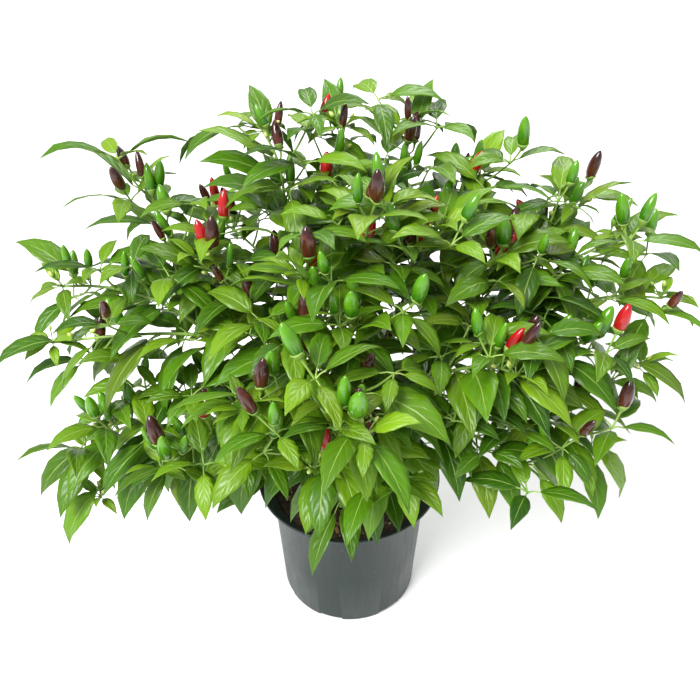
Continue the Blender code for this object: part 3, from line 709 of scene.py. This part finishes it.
class Room:
    def __init__(self):
        self.taken = np.zeros((0, 3))

    def take(self, points):
        self.taken = np.concatenate([self.taken, np.array([tuple(p) for p in points])])

    def nearest(self, points):
        points = np.array([tuple(p) for p in points])
        return np.sqrt(((self.taken[None] - points[:, None]) ** 2).sum(2)).min()


room = Room()
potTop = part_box("pot")[1]
lowCorner, highCorner = (Vector(corner) for corner in cadBounds)


def samplesOf(leaf):
    a, b, c, d = leaf["spine"]
    return [(a + b) / 2, b, (b + c) / 2, c, d]


skirt = {"height": 0.245, "radius": 0.225}


def allowed(point):
    inside = all(lowCorner[i] < point[i] < highCorner[i] for i in range(3))
    fromAxis = point.xy.length
    bare = point.z < skirt["height"] and fromAxis < skirt["radius"]  # the shoots low on the trunk stay thinly leaved
    overPot = fromAxis < potTop.x * 1.4
    return inside and not bare and point.z > (potTop.z + 0.006 if overPot else 0.125)


for shoot in shoots:
    for leaf in shoot["leaves"]:
        room.take(samplesOf(leaf))
    for fruit in shoot["fruits"]:
        room.take([fruit["neck"], (fruit["neck"] + fruit["tip"]) / 2, fruit["tip"]])
    room.take(shoot["line"])

tipGrowth = {"leaves": 6, "length": (0.018, 0.038), "tries": 14, "clearance": 0.0058, "buds": 4}
twigGrowth = {"share": 0.85, "vigour": 1.15, "length": (0.022, 0.050), "leaves": 4, "leafLength": (0.028, 0.050), "tries": 12}
fruitGrowth = {
    "perTip": 3,
    "length": (0.018, 0.029),
    "width": (0.36, 0.46),  # share of its length
    "stalk": (0.012, 0.020),
    "clearance": 0.0075,
    "tries": 12,
    "red": 0.05,  # shares of each ripeness, the rest being green
    "dark": 0.26,
}


def roomyLeaf(base, heading, spread, pitch, length):
    # the one of several tries that keeps furthest from its neighbours
    best, most = None, tipGrowth["clearance"]
    for _ in range(tipGrowth["tries"]):
        leaf = freshLeaf(base, heading + dice.uniform(-spread, spread), dice.uniform(*pitch), length, dice.uniform(-0.4, 0.4))
        samples = samplesOf(leaf)
        if not all(allowed(point) for point in samples):
            continue
        space = room.nearest(samples)
        if space > most:
            best, most = leaf, space
    if best:
        room.take(samplesOf(best))
    return best


def freshFruit(base, length):
    # an upright chilli on a stalk of its own, where there is room for it
    best, most = None, fruitGrowth["clearance"]
    for _ in range(fruitGrowth["tries"]):
        lean = Vector((dice.gauss(0, 0.22), dice.gauss(0, 0.22), 1)).normalized()
        out = Vector((dice.gauss(0, 1), dice.gauss(0, 1), 0)).normalized()
        neck = base + out * dice.uniform(0.003, 0.010) + lean * dice.uniform(*fruitGrowth["stalk"])
        tip = neck + lean * length
        middlePart = (neck + tip) / 2
        if not (allowed(neck) and allowed(tip)):
            continue
        space = room.nearest([neck + lean * length * 0.2, middlePart, tip])
        if space > most:
            radius = length * dice.uniform(*fruitGrowth["width"]) / 2
            best, most = {"base": base, "neck": neck, "tip": tip, "radius": radius}, space
    if best:
        room.take([best["neck"], (best["neck"] + best["tip"]) / 2, best["tip"]])
    return best


def growBuds(shoot):
    # small pale buds on short stalks round the shoot's tip
    for _ in range(tipGrowth["buds"]):
        base = shoot["line"][dice.choice((-1, -1, -2))]
        lean = Vector((dice.gauss(0, 0.7), dice.gauss(0, 0.7), 1)).normalized()
        neck = base + lean * dice.uniform(0.006, 0.014)
        if allowed(neck + lean * 0.006):
            length = dice.uniform(0.0035, 0.0065)
            shoot["buds"].append({"base": base, "neck": neck, "tip": neck + lean * length, "radius": length * 0.32})


def growFruits(shoot):
    for fruit in shoot["fruits"]:
        fruit["ripeness"] = pickRipeness()
    for place in range(fruitGrowth["perTip"]):
        ends = [shoot["line"][-1 - place]] + [twig[-1] for twig in shoot["twigs"][-2:]]
        fruit = freshFruit(dice.choice(ends), dice.uniform(*fruitGrowth["length"]))
        if fruit:
            fruit["ripeness"] = pickRipeness()
            shoot["fruits"].append(fruit)


def pickRipeness():
    drawn = dice.random()
    if drawn < fruitGrowth["red"]:
        return "red"
    return "dark" if drawn < fruitGrowth["red"] + fruitGrowth["dark"] else "green"


def growTwiglets(shoot):
    # short side twigs from the shoot's nodes, with a few small leaves each, and a tuft at its tip
    line = shoot["line"]
    shoot["twigs"], shoot["small"], shoot["buds"] = [], [], []
    last = len(line) - 1
    vigour = twigGrowth["vigour"] if line[-1].z > 0.37 else 1.0
    for index in range(2, last):
        if dice.random() > twigGrowth["share"] * vigour:
            continue
        ahead = (line[index + 1] - line[index - 1]).normalized()
        length = dice.uniform(*twigGrowth["length"]) * vigour
        best, most = None, 0.008
        for _ in range(twigGrowth["tries"]):
            out = Vector([dice.gauss(0, 1) for _ in range(3)])
            out = (out - ahead * out.dot(ahead)).normalized()
            way = (out * 0.9 + ahead * 0.55 + upward * 0.35).normalized()
            bend = line[index] + way * length * 0.5
            end = bend + (way + upward * 0.3).normalized() * length * 0.5
            if not (allowed(end) and allowed(bend)):
                continue
            space = room.nearest([end])
            if space > most:
                best, most = (line[index], bend, end), space
        if not best:
            continue
        shoot["twigs"].append(best)
        room.take(best[1:])
        towards = best[2] - best[0]
        heading = math.atan2(towards.y, towards.x)
        for number in range(twigGrowth["leaves"]):
            turn = heading + (number - 1) * 1.7
            leaf = roomyLeaf(best[2], turn, 0.7, (-0.3, 0.7), dice.uniform(*twigGrowth["leafLength"]) * vigour)
            if leaf:
                shoot["small"].append(finishLeaf(leaf, 0.55))
    end = line[-1]
    heading = dice.uniform(0, 6.28)
    for number in range(tipGrowth["leaves"]):
        leaf = roomyLeaf(end, heading + number * 2.4, 0.5, (-0.1, 1.0), dice.uniform(*tipGrowth["length"]))
        if leaf:
            shoot["small"].append(finishLeaf(leaf, 0.85))


for shoot in shoots:
    for leaf in shoot["leaves"]:
        nearTip = 1 - (leaf["base"] - shoot["line"][-1]).length / 0.11
        finishLeaf(leaf, 0.25 + 0.35 * max(0.0, nearTip))
for shoot in shoots:
    growTwiglets(shoot)
for shoot in shoots:
    growFruits(shoot)
    growBuds(shoot)
print("stage: grew", sum(len(s["small"]) for s in shoots), "small leaves on", sum(len(s["twigs"]) for s in shoots), "twiglets")
print("stage:", sum(len(s["fruits"]) for s in shoots), "chillies on the shoots,", sum(len(s["buds"]) for s in shoots), "buds")


# Stems, petioles and stalks are curves with a round section, made into meshes

stemShape = {"petiole": 0.00062, "stalk": 0.00085, "budStalk": 0.0004, "twig": 0.0010}


def addStrand(curve, points, radii, steps=3):
    stations = list(range(len(points)))
    where = np.linspace(0, stations[-1], stations[-1] * steps + 1)
    smooth = curveThrough(stations, points, where) if len(points) > 2 else np.array([tuple(p) for p in points])
    if len(points) <= 2:
        where = np.array(stations, float)
    spline = curve.splines.new("POLY")
    spline.points.add(len(smooth) - 1)
    spline.points.foreach_set("co", np.column_stack([smooth, np.ones(len(smooth))]).ravel())
    spline.points.foreach_set("radius", np.interp(where, stations, radii))


def makeStrands(name, strands, thickness):
    curve = bpy.data.curves.new(name, "CURVE")
    curve.dimensions = "3D"
    curve.bevel_depth = 1.0
    curve.bevel_resolution = thickness
    curve.use_fill_caps = True
    for points, radii, steps in strands:
        addStrand(curve, points, radii, steps)
    piece = bpy.data.objects.new(name, curve)
    bpy.context.scene.collection.objects.link(piece)
    makeActive(piece)
    bpy.ops.object.convert(target="MESH")
    piece = bpy.context.object
    piece.data.shade_smooth()
    return piece


def petioleOf(leaf):
    # from the stem to the blade, and on under the midrib for a short way
    base, start, along = leaf["base"], leaf["spine"][0], leaf["spine"][1]
    sag = (base + start) / 2 + leaf["ups"][0] * 0.0008
    thin = stemShape["petiole"] * min(1.0, leaf["length"] / 0.05 + 0.25)
    ahead = start + (along - start) * 0.55 - leaf["ups"][0] * thin * 0.5
    return ([base, sag, start - leaf["ups"][0] * thin * 0.4, ahead], [thin * 1.5, thin, thin, thin * 0.35], 2)


def stalkOf(fruit, thick):
    base, neck = fruit["base"], fruit["neck"]
    axis = (fruit["tip"] - neck).normalized()
    bend = (base + neck) / 2 - axis * (neck - base).length * 0.06
    return ([base, bend, neck - axis * 0.0006], [thick * 0.9, thick, thick * 1.5], 3)


def bendChilli(shape, fruit, bow=0.0):
    # a master lathed shape stood on its neck, along the line from neck to tip
    axis = fruit["tip"] - fruit["neck"]
    length = axis.length
    axis = axis.normalized()
    across = axis.orthogonal().normalized()
    across = Matrix.Rotation(fruit.get("turn", 0.0), 3, axis) @ across
    beside = axis.cross(across)
    local = shape["points"]
    radius = fruit["radius"]
    height = local[:, 2]
    sway = bow * np.clip(height, 0, 1) * np.clip(1 - height, 0, 1)
    flat = np.outer(local[:, 0] * radius + sway * length, np.array(across)) + np.outer(local[:, 1] * radius, np.array(beside))
    return np.array(fruit["neck"]) + flat + np.outer(height * length, np.array(axis))


def chilliCopies(fruit, skin=0, calyxSkin=1):
    fruit["turn"] = dice.uniform(0, 6.28)
    tint = (dice.random(), dice.random(), dice.random())
    bow = dice.uniform(-0.10, 0.10)
    return [(chilli, bendChilli(chilli, fruit, bow), tint, skin), (calyx, bendChilli(calyx, fruit, bow * 0.2), tint, calyxSkin)]


def buildShoot(shoot):
    number = shoot["name"].split("_")[1]
    everyLeaf = shoot["leaves"] + shoot["small"]
    leaves = joinCopies("leaves_" + number, [(blade, bendBlade(leaf), leaf["tint"], 0) for leaf in everyLeaf], (leafTop, leafBelow))
    settle(leaves, "foliage", shoot["name"])
    strands = [(shoot["line"], shoot["radii"], 3)]
    strands += [(twig, [stemShape["twig"] * 1.2, stemShape["twig"], stemShape["twig"] * 0.8], 3) for twig in shoot["twigs"]]
    strands += [petioleOf(leaf) for leaf in everyLeaf]
    strands += [stalkOf(fruit, stemShape["stalk"]) for fruit in shoot["fruits"]]
    strands += [stalkOf(bud, stemShape["budStalk"]) for bud in shoot["buds"]]
    stems = makeStrands("stems_" + number, strands, 1)
    giveMaterials(stems, greenStem)
    settle(stems, "foliage")
    skins = list(chilliSkins.values())
    copies = []
    for fruit in shoot["fruits"]:
        copies += chilliCopies(fruit, list(chilliSkins).index(fruit["ripeness"]), len(skins))
    for bud in shoot["buds"]:
        copies += chilliCopies(bud, list(chilliSkins).index("bud"), len(skins))
    if copies:
        settle(joinCopies("chillies_" + number, copies, (*skins, greenStem)), "foliage")


for shoot in shoots:
    buildShoot(shoot)
print("stage: leaves, stems and green chillies")


def readChilli(name):
    # neck, tip and radius of a chilli that is a CAD node of its own, and the line of its stalk
    bm = mergedCopy(name)
    tip, rings = max(((tip, ringsBehind(tip, 6)) for tip in sharpTips(bm, 6, 0.5)), key=lambda found: len(found[1]))
    _, _, shoulder, neck, bend, start = rings
    centre = middle(shoulder)
    radius = sum((vert.co - centre).length for vert in shoulder) / 6
    fruit = {"tip": tip.co.copy(), "neck": middle(neck), "radius": radius, "base": middle(start), "bend": middle(bend)}
    bm.free()
    return fruit


def buildChilli(name):
    fruit = readChilli(name)
    ripeness = name.split("_")[0]
    body = joinCopies(name.replace("_chilli", "Chilli"), chilliCopies(fruit), (chilliSkins[ripeness], greenStem))
    axis = (fruit["tip"] - fruit["neck"]).normalized()
    thick = stemShape["stalk"]
    line = [fruit["base"], fruit["bend"], fruit["neck"] - axis * 0.0006]
    stalk = makeStrands("stalk", [(line, [thick * 0.9, thick, thick * 1.5], 4)], 1)
    giveMaterials(stalk, greenStem)
    makeActive(body)
    stalk.select_set(True)
    bpy.ops.object.join()
    settle(body, ripeness + "_fruit", name)


for name in sorted(nodes):
    if "chilli" in name:
        buildChilli(name)
print("stage: ripening chillies")


# Trunk and limbs: the CAD shape, rounded and with the bark's ridges

woodLook = {"levels": 2, "ridge": 0.00025}


def buildWood():
    bm = mergedCopy("main_stem")
    mesh = bpy.data.meshes.new("trunk")
    bm.to_mesh(mesh)
    bm.free()
    trunk = bpy.data.objects.new("trunk", mesh)
    bpy.context.scene.collection.objects.link(trunk)
    makeActive(trunk)
    rounding = trunk.modifiers.new("rounding", "SUBSURF")
    rounding.levels = rounding.render_levels = woodLook["levels"]
    applyModifiers(trunk)
    normals = [vert.normal.copy() for vert in trunk.data.vertices]
    for vert, normal in zip(trunk.data.vertices, normals):
        drawn = Vector((vert.co.x, vert.co.y, vert.co.z * 0.2)) * 260
        vert.co += normal * noise.noise(drawn) * woodLook["ridge"]
    trunk.data.shade_smooth()
    giveMaterials(trunk, youngBark)
    settle(trunk, "bark", "main_stem")


buildWood()
print("stage: trunk")


# Pot

potLook = {
    "steps": 128,
    "wall": 0.0018,
    "collar": 0.016,  # height of the flared part, and of the lip at its top
    "lip": 0.004,
    "foot": 0.007,
    "floorRise": 0.0046,
    "floorTop": 0.0068,
    "notches": 7,
    "notchWidth": 0.024,
    "notchTurn": math.radians(10),
    "holeCircle": 0.044,
    "holeRadius": 0.005,
    "colour": srgb(33, 47, 45),
    "worn": srgb(80, 95, 91),
    "deep": srgb(22, 31, 30),
}


def potFinish():
    material, skin = newMaterial("potPlastic")
    where = addNode(material, "TexCoord").outputs["Object"]
    cloud = noiseAt(material, 14.0, 4.0, where)
    grain = noiseAt(material, 1400.0, 2.0, where)
    drawn = addNode(material, "Mapping", None, {"Vector": where, "Scale": (1.0, 1.0, 0.12)}).outputs[0]
    streak = noiseAt(material, 190.0, 4.0, drawn, 0.65)
    dust = noiseAt(material, 70.0, 6.0, where, 0.7)
    colour = blendColours(material, ease(material, cloud, 0.3, 0.7), potLook["deep"], potLook["colour"])
    colour = blendColours(material, 0.55, colour, potLook["colour"])
    colour = blendColours(material, ease(material, streak, 0.62, 0.82, 0.0, 0.12), colour, potLook["worn"])
    colour = blendColours(material, ease(material, dust, 0.62, 0.74, 0.0, 0.35), colour, srgb(150, 152, 140))
    feed(material, skin.inputs["Base Color"], colour)
    rough = calc(material, "ADD", ease(material, streak, 0.3, 0.8, 0.36, 0.46), ease(material, dust, 0.55, 0.75, 0.0, 0.18))
    feed(material, skin.inputs["Roughness"], rough)
    skin.inputs["Specular IOR Level"].default_value = 0.34
    feed(material, skin.inputs["Normal"], bumpFrom(material, calc(material, "ADD", grain, calc(material, "MULTIPLY", streak, 0.6)), 0.22, 0.0004))
    return material


def widest(name, low, high):
    return max(math.hypot(v.co.x, v.co.y) for v in nodes[name].data.vertices if low <= v.co.z <= high)


def buildPot():
    rim, top = potTop.x, potTop.z
    base = widest("pot", 0.0, 0.003)
    wall = potLook["wall"]
    shelf = top - potLook["collar"]
    lip = top - potLook["lip"]
    wallTop = widest("pot", shelf - 0.0004, shelf + 0.0004)
    footIn = base - potLook["foot"]
    outer = [
        (0.0, potLook["floorRise"]),
        (footIn - 0.001, potLook["floorRise"]),
        (footIn + 0.0004, 0.0008),
        (footIn + 0.0012, 0.0),
        (base - 0.0016, 0.0),
        (base - 0.0005, 0.0005),
        (base, 0.0016),
        (base + (wallTop - base) * 0.5, shelf * 0.5),
        (wallTop - 0.0001, shelf - 0.0016),
        (wallTop + 0.0003, shelf - 0.0003),
        (wallTop + 0.0012, shelf + 0.0009),
        (rim - 0.0026, lip - 0.0013),
        (rim - 0.0010, lip + 0.0001),
        (rim - 0.0002, lip + 0.0012),
        (rim, top - 0.0020),
        (rim, top - 0.0008),
        (rim - 0.0004, top - 0.0002),
        (rim - 0.0009, top),
    ]
    inner = [
        (rim - wall + 0.0004, top - 0.0001),
        (rim - wall, top - 0.0007),
        (rim - wall - 0.0001, lip + 0.0014),
        (rim - wall - 0.0010, lip + 0.0002),
        (wallTop - wall + 0.0008, shelf + 0.0022),
        (wallTop - wall + 0.0001, shelf + 0.0010),
        (wallTop - wall, shelf - 0.0004),
        (base - wall, potLook["floorTop"] + 0.0020),
        (base - wall - 0.0006, potLook["floorTop"] + 0.0006),
        (base - wall - 0.0020, potLook["floorTop"]),
        (0.0, potLook["floorTop"]),
    ]
    outline = outer + inner
    mesh = bpy.data.meshes.new("nurseryPot")
    mesh.from_pydata([(r, 0, z) for r, z in outline], [(i, i + 1) for i in range(len(outline) - 1)], [])
    pot = bpy.data.objects.new("nurseryPot", mesh)
    bpy.context.scene.collection.objects.link(pot)
    makeActive(pot)
    bpy.ops.object.mode_set(mode="EDIT")
    bpy.ops.mesh.select_all(action="SELECT")
    bpy.ops.mesh.spin(steps=potLook["steps"], angle=2 * math.pi, center=(0, 0, 0), axis=(0, 0, 1))
    bpy.ops.mesh.select_all(action="SELECT")
    bpy.ops.mesh.remove_doubles(threshold=0.00002)
    bpy.ops.mesh.normals_make_consistent(inside=False)
    bpy.ops.object.mode_set(mode="OBJECT")
    cutters = []
    for index in range(potLook["notches"]):
        turn = 2 * math.pi * (index + 0.5) / potLook["notches"] - math.pi / 2 + potLook["notchTurn"]
        reach = base - potLook["foot"] / 2
        clearSelection()
        bpy.ops.mesh.primitive_cube_add(size=1, location=(reach * math.cos(turn), reach * math.sin(turn), 0), rotation=(0, 0, turn))
        block = bpy.context.object
        block.scale = (potLook["foot"] + 0.010, potLook["notchWidth"], 2 * potLook["floorRise"] * 0.72)
        cutters.append(block)
        turn = 2 * math.pi * index / potLook["notches"] - math.pi / 2
        reach = potLook["holeCircle"]
        clearSelection()
        bpy.ops.mesh.primitive_cylinder_add(
            vertices=28,
            radius=potLook["holeRadius"],
            depth=0.03,
            location=(reach * math.cos(turn), reach * math.sin(turn), potLook["floorTop"] / 2),
        )
        cutters.append(bpy.context.object)
    clearSelection()
    for cutter in cutters:
        cutter.select_set(True)
    bpy.context.view_layer.objects.active = cutters[0]
    bpy.ops.object.join()
    cutter = bpy.context.object
    cut = pot.modifiers.new("openings", "BOOLEAN")
    cut.operation = "DIFFERENCE"
    cut.solver = "EXACT"
    cut.object = cutter
    applyModifiers(pot)
    removeHelper(cutter)
    makeActive(pot)
    bpy.ops.object.shade_smooth_by_angle(angle=math.radians(38))
    giveMaterials(pot, potFinish())
    settle(pot, "pot_plastic", "pot")


buildPot()
print("stage: pot")


# Potting mix: a lumpy surface with bark chips, pale grains and fibres lying on it

soilLook = {
    "rings": 13,
    "lump": 0.0022,
    "grit": 0.0009,
    "chips": 330,
    "chipSize": (0.0022, 0.0075),
    "grains": 70,
    "grainSize": (0.0007, 0.0016),
    "fibres": 60,
}


def soilFinish(name, dark, light, fleck):
    material, skin = newMaterial(name)
    where = addNode(material, "TexCoord").outputs["Object"]
    coarse = noiseAt(material, 130.0, 6.0, where, 0.7)
    fine = noiseAt(material, 900.0, 4.0, where, 0.7)
    bright, youth, hue = tintChannels(material)[:3]
    colour = blendColours(material, ease(material, coarse, 0.35, 0.70), dark, light)
    colour = blendColours(material, calc(material, "MULTIPLY", bright, 0.8), colour, fleck)
    colour = blendColours(material, ease(material, fine, 0.62, 0.80, 0.0, 0.6), colour, srgb(172, 140, 98))
    feed(material, skin.inputs["Base Color"], colour)
    skin.inputs["Roughness"].default_value = 0.92
    feed(material, skin.inputs["Normal"], bumpFrom(material, calc(material, "ADD", fine, coarse), 0.9, 0.0012))
    return material


def buildSoil():
    low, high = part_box("potting_mix")
    edge = high.x
    bottom = widest("potting_mix", low.z, low.z + 0.005)
    level = high.z - 0.0055
    clearSelection()
    bpy.ops.mesh.primitive_cylinder_add(vertices=72, radius=edge, depth=level - low.z, location=(0, 0, (level + low.z) / 2))
    soil = bpy.context.object
    soil.name = "pottingMix"
    bakePlace(soil)
    bpy.ops.object.mode_set(mode="EDIT")
    selectWhere(soil, lambda co: co.z < level - 0.001)
    bpy.ops.transform.resize(value=(bottom / edge, bottom / edge, 1), center_override=(0, 0, 0))
    selectWhere(soil, lambda face: face.normal.z > 0.9, "FACE")
    for _ in range(soilLook["rings"]):
        bpy.ops.mesh.inset(thickness=edge / (soilLook["rings"] + 1), depth=0)
    bpy.ops.mesh.poke()
    selectWhere(soil, lambda face: face.normal.z > 0.9, "FACE")
    bpy.ops.mesh.subdivide(number_cuts=3, smoothness=0)
    bpy.ops.object.mode_set(mode="OBJECT")
    for vert in soil.data.vertices:
        radius = vert.co.xy.length
        if vert.co.z < level - 0.0005 or radius > edge - 0.0005:
            continue
        mound = 0.004 * max(0.0, 1 - radius / (potTop.x * 0.8)) ** 1.5
        lumps = noise.noise(vert.co * 95) * soilLook["lump"] + noise.noise(vert.co * 320) * soilLook["grit"]
        vert.co.z += mound + lumps * min(1.0, (edge - radius) / 0.004)
    soil.data.shade_smooth()
    tint = soil.data.attributes.new("tint", "FLOAT_COLOR", "POINT")
    tint.data.foreach_set("color", [0.0, 0.0, 0.0, 1.0] * len(soil.data.vertices))
    giveMaterials(soil, soilFinish("soilCrumb", srgb(34, 26, 18), srgb(84, 66, 44), srgb(84, 66, 44)))
    settle(soil, "potting_mix", "potting_mix")
    return soil, edge


def modelCrumb(name, stretch):
    # a cube with bevelled corners pushed out of square, for chips, grains and fibres
    clearSelection()
    bpy.ops.mesh.primitive_cube_add(size=1)
    crumb = bpy.context.object
    crumb.name = name
    bpy.ops.object.mode_set(mode="EDIT")
    bpy.ops.mesh.select_all(action="SELECT")
    bpy.ops.mesh.bevel(offset=0.16, segments=1)
    bpy.ops.transform.vertex_random(offset=0.10, seed=7)
    bpy.ops.transform.resize(value=stretch)
    bpy.ops.object.mode_set(mode="OBJECT")
    crumb.data.uv_layers.active.name = "leafMap"
    shape = arraysOf(crumb)
    removeHelper(crumb)
    return shape


def scatterCrumbs(soil, edge):
    surface = BVHTree.FromPolygons([v.co for v in soil.data.vertices], [tuple(p.vertices) for p in soil.data.polygons])
    chip = modelCrumb("chipMaster", (1.0, 0.55, 0.28))
    grain = modelCrumb("grainMaster", (1.0, 0.9, 0.8))
    fibre = modelCrumb("fibreMaster", (1.0, 0.05, 0.05))

    def lay(shape, size, sunk, tilt, tint, offset):
        while True:
            place = Vector((dice.uniform(-edge, edge), dice.uniform(-edge, edge), 0))
            if 0.012 < place.length < edge - size * 0.6 - 0.001:
                break
        hit = surface.ray_cast(place + upward * 0.3, -upward)[0]
        turn = Matrix.Rotation(dice.uniform(0, 6.28), 3, "Z") @ Matrix.Rotation(dice.uniform(-tilt, tilt), 3, "X")
        turn = turn @ Matrix.Rotation(dice.uniform(-tilt, tilt), 3, "Y")
        points = shape["points"] * size @ np.array(turn).T + np.array(hit + upward * size * sunk)
        return (shape, points, tint, offset)

    copies = []
    for _ in range(soilLook["chips"]):
        size = dice.uniform(*soilLook["chipSize"]) * dice.uniform(0.6, 1.0)
        copies.append(lay(chip, size, 0.10, 0.7, (dice.random(), dice.random(), dice.random()), 0))
    for _ in range(soilLook["fibres"]):
        copies.append(lay(fibre, dice.uniform(0.006, 0.014), 0.04, 0.35, (dice.random(), 0.0, 0.0), 0))
    for _ in range(soilLook["grains"]):
        copies.append(lay(grain, dice.uniform(*soilLook["grainSize"]) * 2, 0.25, 0.9, (dice.random(), 0.0, 0.0), 1))
    chipWood = soilFinish("chipWood", srgb(52, 34, 20), srgb(112, 80, 48), srgb(158, 122, 80))
    paleGrain = soilFinish("paleGrain", srgb(150, 140, 120), srgb(196, 188, 168), srgb(220, 214, 200))
    crumbs = joinCopies("barkBits", copies, (chipWood, paleGrain))
    for polygon in crumbs.data.polygons:
        polygon.use_smooth = False
    settle(crumbs, "potting_mix")


soil, soilEdge = buildSoil()
scatterCrumbs(soil, soilEdge)
print("stage: potting mix")
